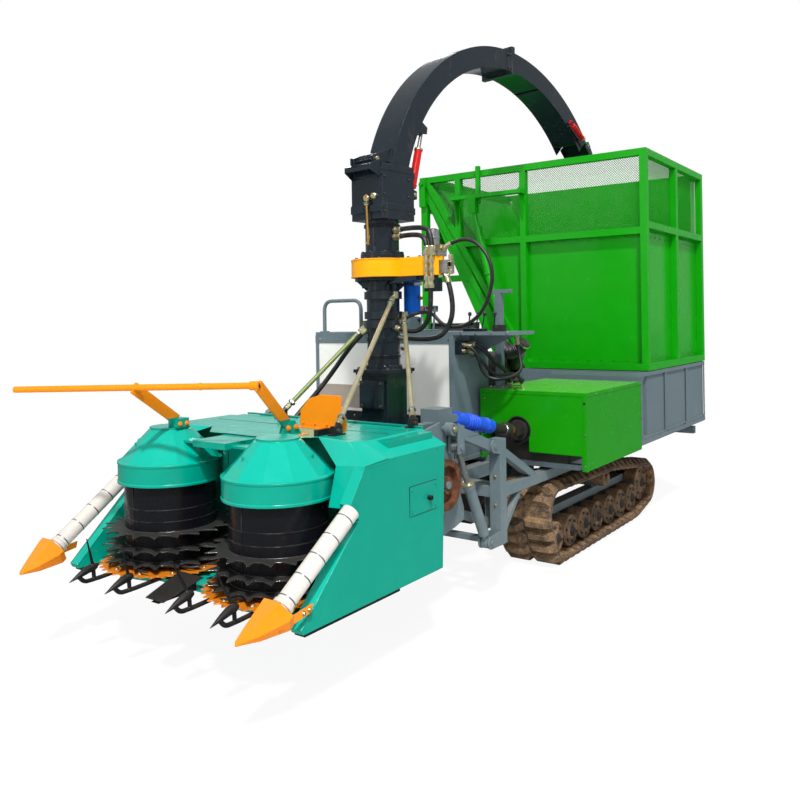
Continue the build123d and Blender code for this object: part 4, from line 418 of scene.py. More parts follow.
# the CAD parts that wear each finish
CAD_FINISHES = {
    "grey": ("chassis_frame", "track_beams", "lower_box", "deck", "control_panel", "light_stand",
             "header_frame", "upper_arms", "lower_arms", "lift_cylinders"),
    "wheel": ("track_wheels",),
    "iron": ("drive_axle", "engine_block", "pto_tube"),
    "cover_green": ("engine_cover",),
    "bin_green": ("bin_stand", "bin_frame", "tip_cylinders", "tip_rods"),
    "panel": ("console",),
    "black": ("seat_base", "crop_guides"),
    "plastic": ("air_intake",),
    "teal": ("header_shell",),
    "white": ("divider_tubes",),
    "bar": ("push_bar",),
    "orange": ("feed_guard",),
    "drum": ("feed_drum_left", "feed_drum_right"),
    "rust": ("belt_pulley",),
    "slate": ("tower", "slew_ring", "spout_head", "spout", "spout_flap"),
    "yellow": ("slew_drive",),
    "steel": ("slew_motor", "tilt_rod", "flap_rod", "lift_rods"),
    "filter": ("oil_filter",),
    "struts": ("tower_struts",),
    "red": ("tilt_cylinder", "flap_cylinder"),
    "bin_sheet": ("bin_panels",),
    "blue": ("pto_sleeve",),
}


# ---------------------------------------------------------------- building pieces
class Piece:
    """One mesh of closed shells, each with its own finish, that rides on one body."""

    def __init__(self, name, *finishes):
        self.name = name
        self.finishes = list(finishes)
        self.mesh = bmesh.new()

    def loft(self, rings, finish=0, closed=False):
        """Faces between rings of points; the ends are capped unless the rings form a loop."""
        rows = [[self.mesh.verts.new(point) for point in ring] for ring in rings]
        count = len(rows[0])
        made = []
        pairs = list(zip(rows, rows[1:])) + ([(rows[-1], rows[0])] if closed else [])
        for first, second in pairs:
            for step in range(count):
                after = (step + 1) % count
                made.append(self.mesh.faces.new((first[step], first[after], second[after], second[step])))
        if not closed:
            made.append(self.mesh.faces.new(rows[0]))
            made.append(self.mesh.faces.new(rows[-1]))
        for face in made:
            face.material_index = finish
        return self

    def box(self, first, second, finish=0, turn=None, about=None):
        """A box between two opposite corners, turned about a place if asked."""
        (x0, x1), (y0, y1), (z0, z1) = (sorted(pair) for pair in zip(first, second))
        corners = [[Vector((x, y, z)) for x, y in ((x0, y0), (x1, y0), (x1, y1), (x0, y1))] for z in (z0, z1)]
        if turn is not None:
            centre = Vector(about)
            corners = [[turn @ (point - centre) + centre for point in ring] for ring in corners]
        return self.loft(corners, finish)

    def lathe(self, start, axis, profile, sides=24, finish=0):
        """Rings of (distance along the axis, radius) about an axis."""
        start, way = Vector(start), Vector(axis).normalized()
        frame_turn = way.to_track_quat("Z", "Y").to_matrix()
        rings = [[start + way * along + frame_turn @ Vector((radius * cos(angle), radius * sin(angle), 0))
                  for angle in (2 * pi * side / sides for side in range(sides))]
                 for along, radius in profile]
        return self.loft(rings, finish)

    def nut(self, start, axis, radius, high, finish=0, sides=6):
        """A nut or a plain stub that stands on a place."""
        return self.lathe(start, axis, ((0, radius), (high, radius)), sides, finish)

    def band(self, start, axis, inner, outer, width, sides=48, finish=0, slope=0.001):
        """A raised band round an axis, its edges sloping down to the inner radius."""
        profile = ((0, inner), (slope, outer), (width - slope, outer), (width, inner))
        return self.lathe(start, axis, profile, sides, finish)

    def rod(self, start, end, radius, sides=16, finish=0):
        """A straight round bar between two places."""
        run = Vector(end) - Vector(start)
        return self.nut(start, run, radius, run.length, finish, sides)

    def sweep(self, path, radii, sides=12, finish=0):
        """A round section carried along a path, without twisting."""
        points = [Vector(point) for point in path]
        ways = [(points[min(i + 1, len(points) - 1)] - points[max(i - 1, 0)]).normalized()
                for i in range(len(points))]
        across = ways[0].orthogonal().normalized()
        rings = []
        for point, way, radius in zip(points, ways, radii):
            across = (across - way * across.dot(way)).normalized()
            other = way.cross(across)
            rings.append([point + across * (radius * cos(2 * pi * side / sides))
                          + other * (radius * sin(2 * pi * side / sides)) for side in range(sides)])
        return self.loft(rings, finish)

    def plate(self, outline, thick, finish=0):
        """A flat plate from its outline, thick being the vector from one face to the other."""
        low = [Vector(point) for point in outline]
        return self.loft([low, [point + Vector(thick) for point in low]], finish)

    def take(self, mesh, finish=0):
        """Adds the faces of a finished mesh."""
        count = len(self.mesh.faces)
        self.mesh.from_mesh(mesh)
        self.mesh.faces.ensure_lookup_table()
        for face in self.mesh.faces[count:]:
            face.material_index = finish
        return self

    def done(self, body, slot, *replaced, angle=32.0):
        """The finished object, riding on its body."""
        bmesh.ops.recalc_face_normals(self.mesh, faces=self.mesh.faces)
        for face in self.mesh.faces:
            face.smooth = True
        data = bpy.data.meshes.new(self.name)
        self.mesh.to_mesh(data)
        self.mesh.free()
        for finish in self.finishes:
            data.materials.append(MATERIALS[finish])
        data.set_sharp_from_angle(angle=radians(angle))
        made = bpy.data.objects.new(self.name, data)
        bpy.context.scene.collection.objects.link(made)
        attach(made, body)
        if replaced:
            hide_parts(*replaced)
        return made


def bend(points, radius, steps=6):
    """A path through points with its corners rounded to a radius."""
    points = [Vector(point) for point in points]
    path = [points[0]]
    for before, corner, after in zip(points, points[1:], points[2:]):
        start = corner + (before - corner).normalized() * radius
        end = corner + (after - corner).normalized() * radius
        for step in range(steps + 1):
            share = step / steps
            path.append(start.lerp(corner, share).lerp(corner.lerp(end, share), share))
    return path + [points[-1]]


def hull(circles, samples=72):
    """The tight belt line round circles (y, z, radius), as points in order."""
    turns = [2 * pi * step / samples for step in range(samples)]
    cloud = sorted({(round(y + radius * cos(turn), 5), round(z + radius * sin(turn), 5))
                    for y, z, radius in circles for turn in turns})

    def half(points):
        line = []
        for point in points:
            while len(line) > 1 and ((line[-1][0] - line[-2][0]) * (point[1] - line[-2][1])
                                     - (line[-1][1] - line[-2][1]) * (point[0] - line[-2][0])) <= 0:
                line.pop()
            line.append(point)
        return line[:-1]

    return half(cloud) + half(cloud[::-1])


def evenly(line, pitch):
    """Places and directions at an even pitch round a closed line."""
    line = [Vector((0, y, z)) for y, z in line]
    spans = [(a, b, (b - a).length) for a, b in zip(line, line[1:] + line[:1])]
    total = sum(span[2] for span in spans)
    count = round(total / pitch)
    found = []
    walked = 0.0
    for a, b, length in spans:
        while len(found) < count and len(found) * total / count < walked + length:
            found.append((a.lerp(b, (len(found) * total / count - walked) / length), (b - a).normalized()))
        walked += length
    return found


# ---------------------------------------------------------------- geometry nodes for what repeats
def group_of(name, inputs):
    """A geometry node group with Geometry in and out and named inputs (name, socket type, default)."""
    group = bpy.data.node_groups.new(name, "GeometryNodeTree")
    group.interface.new_socket("Geometry", in_out="INPUT", socket_type="NodeSocketGeometry")
    for label, kind, default in inputs:
        socket = group.interface.new_socket(label, in_out="INPUT", socket_type=kind)
        if default is not None:
            socket.default_value = default
    group.interface.new_socket("Geometry", in_out="OUTPUT", socket_type="NodeSocketGeometry")
    tree = Nodes(group)
    given = tree.add("NodeGroupInput")
    return group, tree, {socket.name: Value(tree, socket) for socket in given.outputs if socket.name}


def finish_group(tree, geometry, material):
    """Ends a group: real geometry with its material."""
    real = tree.out("GeometryNodeRealizeInstances", {"Geometry": geometry})
    shown = tree.out("GeometryNodeSetMaterial", {"Geometry": real, "Material": material})
    tree.add("NodeGroupOutput", {"Geometry": shown})


def scatter_group(name, shape, inputs):
    """Instances of a shape on points that carry a way (their up), a lie (their x) and a size."""
    group, tree, given = group_of(name, inputs)
    way = tree.out("GeometryNodeInputNamedAttribute", {"Name": "way"}, data_type="FLOAT_VECTOR")
    lie = tree.out("GeometryNodeInputNamedAttribute", {"Name": "lie"}, data_type="FLOAT_VECTOR")
    size = tree.out("GeometryNodeInputNamedAttribute", {"Name": "size"}, data_type="FLOAT")
    turned = tree.out("FunctionNodeAxesToRotation", {"Primary Axis": way, "Secondary Axis": lie},
                      primary_axis="Z", secondary_axis="X")
    spread = tree.add("GeometryNodeInstanceOnPoints", {"Points": given["Geometry"],
                                                       "Instance": shape(tree, given),
                                                       "Rotation": turned})
    scale = tree.out("ShaderNodeCombineXYZ", {0: size, 1: size, 2: size})
    tree.tree.links.new(scale.socket, spread.inputs["Scale"])
    finish_group(tree, Value(tree, spread.outputs[0]), given["Material"])
    return group


def bolt_shape(tree, given):
    """A hexagon head on a washer, standing on the point."""
    head = tree.out("GeometryNodeMeshCylinder", {"Vertices": 6, "Radius": given["Head Radius"],
                                                 "Depth": given["Head Height"]})
    washer = tree.out("GeometryNodeMeshCylinder", {"Vertices": 14, "Radius": given["Washer Radius"],
                                                   "Depth": given["Washer Height"]})
    rise = tree.out("ShaderNodeCombineXYZ", {2: given["Head Height"] * 0.5 + given["Washer Height"]})
    lift = tree.out("ShaderNodeCombineXYZ", {2: given["Washer Height"] * 0.45})
    head = tree.out("GeometryNodeTransform", {"Geometry": head, "Translation": rise})
    washer = tree.out("GeometryNodeTransform", {"Geometry": washer, "Translation": lift})
    joined = tree.add("GeometryNodeJoinGeometry")
    tree.tree.links.new(washer.socket, joined.inputs[0])
    tree.tree.links.new(head.socket, joined.inputs[0])
    return Value(tree, joined.outputs[0])


def lug_shape(tree, given):
    """A bar that tapers upwards, its foot a little below the point."""
    bar = tree.out("GeometryNodeMeshCone", {"Vertices": 4, "Radius Top": given["Taper"] * 0.7071,
                                            "Radius Bottom": 0.7071, "Depth": 1.0}, output="Mesh")
    bar = tree.out("GeometryNodeTransform", {"Geometry": bar, "Rotation": (0, 0, pi / 4)})
    scale = tree.out("ShaderNodeCombineXYZ", {0: given["Length"], 1: given["Width"], 2: given["Height"]})
    sink = tree.out("ShaderNodeCombineXYZ", {2: given["Height"] * -0.1})
    return tree.out("GeometryNodeTransform", {"Geometry": bar, "Scale": scale, "Translation": sink})


def wire_group(name):
    """Round wires along the edges of a mesh."""
    group, tree, given = group_of(name, (("Radius", "NodeSocketFloat", 0.001), ("Sides", "NodeSocketInt", 4),
                                         ("Material", "NodeSocketMaterial", None)))
    line = tree.out("GeometryNodeMeshToCurve", {"Mesh": given["Geometry"]})
    round_section = tree.out("GeometryNodeCurvePrimitiveCircle", {"Resolution": given["Sides"],
                                                                  "Radius": given["Radius"]})
    wires = tree.out("GeometryNodeCurveToMesh",
                     {"Curve": line, "Profile Curve": round_section, "Fill Caps": True})
    finish_group(tree, wires, given["Material"])
    return group


FLOAT = "NodeSocketFloat"
GROUPS = {}


def make_groups():
    """Node groups for bolts, for track lugs and for the bin's wires."""
    GROUPS["bolts"] = scatter_group("bolts", bolt_shape, (
        ("Head Radius", FLOAT, 0.009), ("Head Height", FLOAT, 0.007), ("Washer Radius", FLOAT, 0.013),
        ("Washer Height", FLOAT, 0.003), ("Material", "NodeSocketMaterial", None)))
    GROUPS["lugs"] = scatter_group("lugs", lug_shape, (
        ("Length", FLOAT, 0.19), ("Width", FLOAT, 0.055), ("Height", FLOAT, 0.035), ("Taper", FLOAT, 0.6),
        ("Material", "NodeSocketMaterial", None)))
    GROUPS["wires"] = wire_group("wires")


def baked(name, group, points=(), edges=(), ways=(), **values):
    """The evaluated mesh of a group on points or edges, with its named inputs set."""
    data = bpy.data.meshes.new(name + "_points")
    data.from_pydata([tuple(point) for point in points], list(edges), [])
    if ways:
        for label, kind, column in (("way", "FLOAT_VECTOR", 0), ("lie", "FLOAT_VECTOR", 1),
                                    ("size", "FLOAT", 2)):
            attribute = data.attributes.new(label, kind, "POINT")
            for item, row in zip(attribute.data, ways):
                if kind == "FLOAT":
                    item.value = row[column]
                else:
                    item.vector = row[column]
    carrier = bpy.data.objects.new(name + "_carrier", data)
    bpy.context.scene.collection.objects.link(carrier)
    modifier = carrier.modifiers.new("repeat", "NODES")
    modifier.node_group = GROUPS[group]
    for socket in GROUPS[group].interface.items_tree:
        label = socket.name.lower().replace(" ", "_")
        if socket.in_out == "INPUT" and label in values:
            modifier[socket.identifier] = values[label]
    carrier.update_tag()
    depsgraph = bpy.context.evaluated_depsgraph_get()
    made = bpy.data.meshes.new_from_object(carrier.evaluated_get(depsgraph), depsgraph=depsgraph)
    bpy.data.objects.remove(carrier)
    if not made.polygons:
        raise RuntimeError(f"{name}: the node group made no faces")
    return made


class Bolts:
    """Gathers bolts, each with the way it stands and its size, and makes them one piece on a body."""

    def __init__(self):
        self.points = []
        self.ways = []

    def add(self, place, way, size=1.0):
        way = Vector(way).normalized()
        self.points.append(Vector(place))
        self.ways.append((way, way.orthogonal().normalized(), size))
        return self

    def ring(self, centre, way, radius, count, size=1.0, start=0.0):
        """Bolts evenly round a circle."""
        way = Vector(way).normalized()
        first = way.orthogonal().normalized()
        other = way.cross(first)
        for step in range(count):
            angle = start + 2 * pi * step / count
            self.add(Vector(centre) + first * radius * cos(angle) + other * radius * sin(angle), way, size)
        return self

    def row(self, start, end, count, way, size=1.0):
        """Bolts evenly along a line."""
        for step in range(count):
            self.add(Vector(start).lerp(Vector(end), step / max(1, count - 1)), way, size)
        return self

    def done(self, name, body, slot, finish):
        mesh = baked(name, "bolts", self.points, ways=self.ways, material=MATERIALS[finish])
        return Piece(name, finish).take(mesh).done(body, slot)


def crossing_wires(outline, pitch):
    """Two sets of slanting lines clipped to a convex outline given in its own plane: points and edges."""
    points, edges = [], []
    for slope in (1, -1):
        levels = [v - slope * u for u, v in outline]
        for step in range(int(min(levels) / pitch) + 1, int(max(levels) / pitch) + 1):
            level = step * pitch
            cuts = []
            for (u0, v0), (u1, v1) in zip(outline, outline[1:] + outline[:1]):
                d0, d1 = v0 - slope * u0 - level, v1 - slope * u1 - level
                if d0 * d1 < 0:
                    share = d0 / (d0 - d1)
                    cuts.append((u0 + (u1 - u0) * share, v0 + (v1 - v0) * share))
            if len(cuts) == 2 and hypot(cuts[0][0] - cuts[1][0], cuts[0][1] - cuts[1][1]) > pitch:
                edges.append((len(points), len(points) + 1))
                points += cuts
    return points, edges


def hose(name, route, radius, body):
    """A hose held at both ends by the machine, along a given route."""
    data = bpy.data.curves.new(name, "CURVE")
    data.dimensions = "3D"
    data.resolution_u = 16
    spline = data.splines.new("NURBS")
    spline.points.add(len(route) - 1)
    for point, place in zip(spline.points, route):
        point.co = (*place, 1)
    spline.order_u = 3
    spline.use_endpoint_u = True
    made = bpy.data.objects.new(name, data)
    bpy.context.scene.collection.objects.link(made)
    bpy.context.view_layer.update()
    line = made.to_mesh()
    made.to_mesh_clear()
    data.bevel_depth = radius
    data.bevel_resolution = 4
    data.use_fill_caps = True
    data.materials.append(MATERIALS["rubber"])
    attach(made, body)
    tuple(route[0])


def crimps(piece, route, radius):
    """Swaged collars and nuts over both ends of a hose."""
    for end, inner in ((route[0], route[1]), (route[-1], route[-2])):
        way = (Vector(inner) - Vector(end)).normalized()
        start = Vector(end) - way * 0.012
        piece.nut(start, way, radius * 1.5, 0.016)
        piece.lathe(start + way * 0.016, way,
                    ((0, radius * 1.28), (0.036, radius * 1.28), (0.04, radius * 1.1)), 16)


def pillow(piece, low, high, crown_way, seams, steps, crown=0.16):
    """A padded block: crowned face, soft edges, sides drawn in between the corners and sewn channels.

    Each seam is its place from -1 to 1, whether it runs across the second way, and its half width."""
    middle, half = (low + high) / 2, (high - low) / 2
    axis = max(range(3), key=lambda i: abs(crown_way[i]))
    wide, deep = [i for i in range(3) if i != axis]
    sign = 1 if crown_way[axis] > 0 else -1
    grid = {}

    def spot(u, v, w):
        """u, v across the pad and w through it, each from -1 to 1."""
        square = max(abs(u), abs(v))
        soft = 1 - 0.05 * (1 - abs(w)) - 0.10 * max(0.0, abs(w) - 0.45) ** 2 * 3
        depth = w
        if w > 0.99:
            rim = max(0.0, (square - 0.80) / 0.20)
            depth = 1 - 0.55 * rim ** 2.2 * (0.6 + 0.4 * square) - crown * (u * u + v * v) * 0.5
            for where, across, width in seams:
                away = abs((u if across else v) - where)
                depth -= 0.24 * max(0.0, 1 - away / width) ** 1.5 * (1 - max(0.0, square - 0.9) * 5)
        point = Vector((0, 0, 0))
        point[wide] = middle[wide] + half[wide] * (u * soft * (1 - 0.045 * (1 - v * v) * abs(u) ** 6))
        point[deep] = middle[deep] + half[deep] * (v * soft * (1 - 0.045 * (1 - u * u) * abs(v) ** 6))
        point[axis] = middle[axis] + sign * half[axis] * depth
        return point

    def vertex(corner):
        key = tuple(round(part, 5) for part in corner)
        if key not in grid:
            grid[key] = piece.mesh.verts.new(spot(*corner))
        return grid[key]

    for fixed in range(3):
        first, second = [i for i in range(3) if i != fixed]
        for side in (-1, 1):
            for i in range(steps[first]):
                for j in range(steps[second]):
                    corners = []
                    for di, dj in ((0, 0), (1, 0), (1, 1), (0, 1)):
                        corner = [0.0, 0.0, 0.0]
                        corner[fixed] = side
                        corner[first] = -1 + 2 * (i + di) / steps[first]
                        corner[second] = -1 + 2 * (j + dj) / steps[second]
                        corners.append(vertex(corner))
                    piece.mesh.faces.new(corners)


# ---------------------------------------------------------------- operators, one for each group of like pieces
class HARVESTER_OT_finishes(bpy.types.Operator):
    """Gives every CAD part its finish"""

    bl_idname = "harvester.finishes"
    bl_label = "Finishes"

    def execute(self, context):
        make_materials(context.scene.harvester)
        make_groups()
        for finish, nodes in CAD_FINISHES.items():
            for node in nodes:
                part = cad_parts[node]
                part.data.materials.clear()
                part.data.materials.append(MATERIALS[finish])
        return {"FINISHED"}


class HARVESTER_OT_tracks(bpy.types.Operator):
    """Rubber belts with staggered lugs and guide blocks"""

    bl_idname = "harvester.tracks"
    bl_label = "Tracks"

    def execute(self, context):
        look = context.scene.harvester
        outer = hull(LOOP_WHEELS)
        edge = TRACK_WIDTH / 2
        chamfer = edge - 0.008
        for side, word in SIDE_WORDS:
            centre = side * TRACK_X
            belt = Piece("belt_" + word, "belt", "lug")
            rings = []
            for place, along in evenly(outer, 0.023):
                out = Vector((0, along.z, -along.y))
                rings.append([place + out * depth + Vector((centre + across, 0, 0)) for across, depth in (
                    (-edge, -0.014), (-chamfer, 0.0), (chamfer, 0.0), (edge, -0.014),
                    (chamfer, -BELT_THICK), (-chamfer, -BELT_THICK))])
            belt.loft(rings, 0, closed=True)
            points, ways = [], []
            for number, (place, along) in enumerate(evenly(outer, look.lug_pitch / 2)):
                out = Vector((0, along.z, -along.y))
                points.append(place + Vector((centre + (0.098 if number % 2 else -0.098), 0, 0)))
                ways.append((out, Vector((1, 0, 0)), 1.0))
            lugs = baked("lugs", "lugs", points, ways=ways, length=0.196, width=0.060,
                         height=look.lug_height * 1.09, taper=0.62, material=MATERIALS["lug"])
            belt.take(lugs, 1)
            points, ways = [], []
            for place, along in evenly(outer, look.lug_pitch):
                out = Vector((0, along.z, -along.y))
                for across in (-0.16, 0.16):
                    points.append(place - out * BELT_THICK + Vector((centre + across, 0, 0)))
                    ways.append((-out, Vector((1, 0, 0)), 1.0))
            blocks = baked("blocks", "lugs", points, ways=ways, length=0.045, width=0.05,
                           height=0.012, taper=0.7, material=MATERIALS["lug"])
            belt.take(blocks, 1)
            belt.done("chassis", "track_rubber", "track_" + word, angle=28)
        return {"FINISHED"}


class HARVESTER_OT_wheel_hubs(bpy.types.Operator):
    """Dished hubs, rims and bolts on the rollers, idlers and sprockets"""

    bl_idname = "harvester.wheel_hubs"
    bl_label = "Wheel hubs"

    def execute(self, context):
        hubs = Piece("wheel_hubs", "iron", "wheel")
        bolts = Bolts()
        for side in SIDES:
            face = side * (TRACK_X + 0.1305)
            way = (side, 0, 0)
            for y, z, radius in [(y, ROLLER_Z, 0.104) for y in ROLLER_Y] + [(1.722, 0.242, 0.134)]:
                back, cap = (face - side * 0.001, y, z), (face + side * 0.004, y, z)
                hubs.lathe(back, way, ((0, radius * 0.62), (0.004, radius * 0.60), (0.006, radius * 0.48),
                                       (0.012, radius * 0.42)), 28, 1)
                hubs.lathe(cap, way, ((0, 0.036), (0.012, 0.036), (0.020, 0.026), (0.022, 0.010)), 20, 0)
                hubs.lathe(back, way, ((0, radius * 0.985), (0.0045, radius * 0.965), (0.0046, radius * 0.86),
                                       (0, radius * 0.84)), 40, 1)
                bolts.ring((face + side * 0.003, y, z), way, radius * 0.72, 6, 0.8)
            y, z, _ = LOOP_WHEELS[0]
            hubs.lathe((side * (TRACK_X + 0.069), y, z), way,
                       ((0, 0.075), (0.012, 0.073), (0.02, 0.045)), 32, 0)
            bolts.ring((side * (TRACK_X + 0.031), y, z), way, 0.094, 9, 1.1)
        hubs.done("chassis", "iron")
        bolts.done("hub_bolts", "chassis", "iron", "iron")
        return {"FINISHED"}


class HARVESTER_OT_engine_cover(bpy.types.Operator):
    """Folded edges, shaft opening and screws of the engine cover"""

    bl_idname = "harvester.engine_cover"
    bl_label = "Engine cover trim"

    def execute(self, context):
        low, high = low_high("engine_cover")
        trim = Piece("cover_trim", "cover_green", "rubber", "iron")
        # folded edges of the lid and the side
        trim.box((low.x, low.y - 0.002, high.z - 0.022), (high.x + 0.002, low.y, high.z + 0.0015))
        trim.box((high.x - 0.001, low.y + 0.0002, high.z - 0.022), (high.x + 0.002, high.y, high.z + 0.0015))
        trim.box((high.x - 0.022, low.y - 0.002, low.z), (high.x + 0.0015, low.y + 0.001, high.z - 0.0225))
        # ring and plate of the shaft's opening
        inside = (SHAFT_X, low.y + 0.050, SHAFT_Z)
        trim.lathe((SHAFT_X, low.y + 0.001, SHAFT_Z), FRONT, ((0, 0.088), (0.004, 0.088), (0.004, 0.077),
                                                              (0.0, 0.076)), 48, 1)
        trim.nut(inside, -FRONT, 0.074, 0.010, 2, 40)
        trim.done("chassis", "cover_green")
        bolts = Bolts().ring(inside, FRONT, 0.058, 8, 0.8)
        sheet_y, sheet_x = low.y - 0.002, high.x + 0.002
        for start, end, count, way in (
            ((low.x + 0.03, sheet_y, high.z - 0.060), (high.x - 0.010, sheet_y, high.z - 0.060), 2, FRONT),
            ((high.x - 0.010, sheet_y, low.z + 0.03), (high.x - 0.010, sheet_y, high.z - 0.060), 3, FRONT),
            ((sheet_x, low.y + 0.15, high.z - 0.012), (sheet_x, high.y - 0.02, high.z - 0.012), 4, (1, 0, 0)),
            ((sheet_x, high.y - 0.02, low.z + 0.05), (sheet_x, high.y - 0.02, high.z - 0.08), 3, (1, 0, 0)),
        ):
            bolts.row(start, end, count, way, 0.5)
        bolts.done("cover_screws", "chassis", "steel", "steel")
        return {"FINISHED"}


class HARVESTER_OT_lower_box(bpy.types.Operator):
    """Seam strips, rivets, lashing slots as black patches of painted shade, and edge rails of the box under the
    bin
    """

    bl_idname = "harvester.lower_box"
    bl_label = "Lower box trim"

    def execute(self, context):
        low, high = low_high("lower_box")
        trim = Piece("lower_box_trim", "grey", "rubber")
        rivets = Bolts()
        for y in (low.y + 0.012, 1.43, 1.96, high.y - 0.03):
            for side, x in ((LEFT, high.x), (RIGHT, low.x)):
                outer = x + side * 0.004
                trim.box((x - side * 0.001, y, low.z + 0.02), (outer, y + 0.030, high.z - 0.01))
                rivets.row((outer, y + 0.015, low.z + 0.06), (outer, y + 0.015, high.z - 0.06), 7,
                           (side, 0, 0), 0.4)
        # lashing slots: thin black patches on the side that are painted shade for the dark inside of the slots
        for y in (1.12, 1.28, 1.62, 1.80, 2.14, 2.30):
            trim.box((high.x - 0.001, y, low.z + 0.012), (high.x + 0.0015, y + 0.06, low.z + 0.030), 1)
        for z in (low.z, high.z - 0.028):
            trim.box((high.x - 0.001, low.y, z), (high.x + 0.0055, high.y, z + 0.028))
            trim.box((0.30, low.y - 0.005, z), (high.x, low.y + 0.001, z + 0.028))
        trim.done("chassis", "frame_grey")
        rivets.done("box_rivets", "chassis", "frame_grey", "grey")
        return {"FINISHED"}


class HARVESTER_OT_bin_mesh(bpy.types.Operator):
    """Diamond wire mesh in the upper sides of the bin"""

    bl_idname = "harvester.bin_mesh"
    bl_label = "Bin mesh"

    def execute(self, context):
        look = context.scene.harvester
        low, high = low_high("bin_mesh")
        foot_x = low.x + 0.362     # where the slanting wall meets the middle rail
        gable = [(foot_x, low.z), (high.x, low.z), (high.x, high.z), (low.x, high.z)]
        side = [(low.y, low.z), (high.y, low.z), (high.y, high.z), (low.y, high.z)]
        mesh = Piece("bin_wires", "bin_green")
        for outline, place in (
            (gable, lambda u, v: (u, low.y + 0.002, v)),
            (gable, lambda u, v: (u, high.y - 0.002, v)),
            (side, lambda u, v: (high.x - 0.002, u, v)),
        ):
            points, edges = crossing_wires(outline, look.wire_pitch)
            wires = baked("wires", "wires", [place(*point) for point in points], edges, radius=look.wire_radius,
                          sides=4, material=MATERIALS["bin_green"])
            mesh.take(wires)
        mesh.done("bin", "bin_green", "bin_mesh")
        return {"FINISHED"}


class HARVESTER_OT_bin_trim(bpy.types.Operator):
    """Rivets, gussets, closing sheets and the slanting strip of the bin"""

    bl_idname = "harvester.bin_trim"
    bl_label = "Bin trim"

    def execute(self, context):
        low, high = low_high("bin_panels")
        front = low.y - 0.05
        trim = Piece("bin_gussets", "bin_green", "bin_sheet")
        rivets = Bolts()
        for z in (1.25, 2.15):
            rivets.row((0.12, low.y - 0.0005, z), (0.90, low.y - 0.0005, z), 9, FRONT, 0.45)
        for z in (1.26, 2.15):
            rivets.row((high.x + 0.0005, 1.16, z), (high.x + 0.0005, 2.40, z), 12, (1, 0, 0), 0.45)
        # sheets close the upper rear and far walls, and a wide strip runs down the slanting edge
        foot, top = 2.190, 2.755
        trim.box((low.x + 0.06, high.y - 0.030, foot), (high.x - 0.03, high.y - 0.027, top), 1)
        trim.box((low.x + 0.030, low.y + 0.03, foot), (low.x + 0.033, high.y - 0.03, top), 1)
        strip = ((-0.950, 2.660), (-0.885, 2.745), (-0.112, 1.256), (-0.266, 1.256))
        trim.plate([(x, front + 0.008, z) for x, z in strip], (0, 0.005, 0))
        for rise in (0.10, -0.10):
            gusset = ((0.025, 2.575), (-0.045, 2.575), (0.025, 2.575 + rise))
            trim.plate([(x, front - 0.004, z) for x, z in gusset], (0, 0.005, 0))
        trim.done("bin", "bin_green")
        rivets.done("bin_rivets", "bin", "bin_green", "bin_green")
        return {"FINISHED"}


class HARVESTER_OT_seat(bpy.types.Operator):
    """Padded seat cushion and back with their sewn channels"""

    bl_idname = "harvester.seat"
    bl_label = "Seat"

    def execute(self, context):
        # the face's way, the long channels' places, the cross channel's place, steps along each axis
        for node, crown_way, channels, across, steps in (
            ("seat_cushion", (0, 0, 1), 0.42, 0.0, (28, 24, 6)),
            ("seat_back", (0, -1, 0), 0.45, 0.1, (28, 6, 24)),
        ):
            pad = Piece(node + "_pad", "vinyl")
            seams = ((-channels, True, 0.06), (channels, True, 0.06), (across, False, 0.05))
            pillow(pad, *low_high(node), crown_way, seams, steps)
            pad.done("chassis", "seat_vinyl", node, angle=60)
        return {"FINISHED"}


class HARVESTER_OT_guard_rail(bpy.types.Operator):
    """Bent guard rail with its feet"""

    bl_idname = "harvester.guard_rail"
    bl_label = "Guard rail"

    def execute(self, context):
        look = context.scene.harvester
        low, high = low_high("guard_rails")
        y = (low.y + high.y) / 2
        tube = look.rail_radius
        left, right, top = high.x - tube, low.x + tube, high.z - tube
        path = bend([(right, y, low.z), (right, y, top), (left, y, top), (left, y, low.z)], 0.07)
        rail = Piece("guard_rail", "grey").sweep(path, [tube] * len(path), 16)
        bolts = Bolts()
        for x in (left, right):
            rail.nut((x, y, low.z), UP, 0.034, 0.006, sides=20)
            bolts.ring((x, y, low.z + 0.006), UP, 0.025, 3, 0.5)
        rail.done("chassis", "dark_slate", "guard_rails")
        bolts.done("rail_bolts", "chassis", "zinc", "zinc")
        return {"FINISHED"}


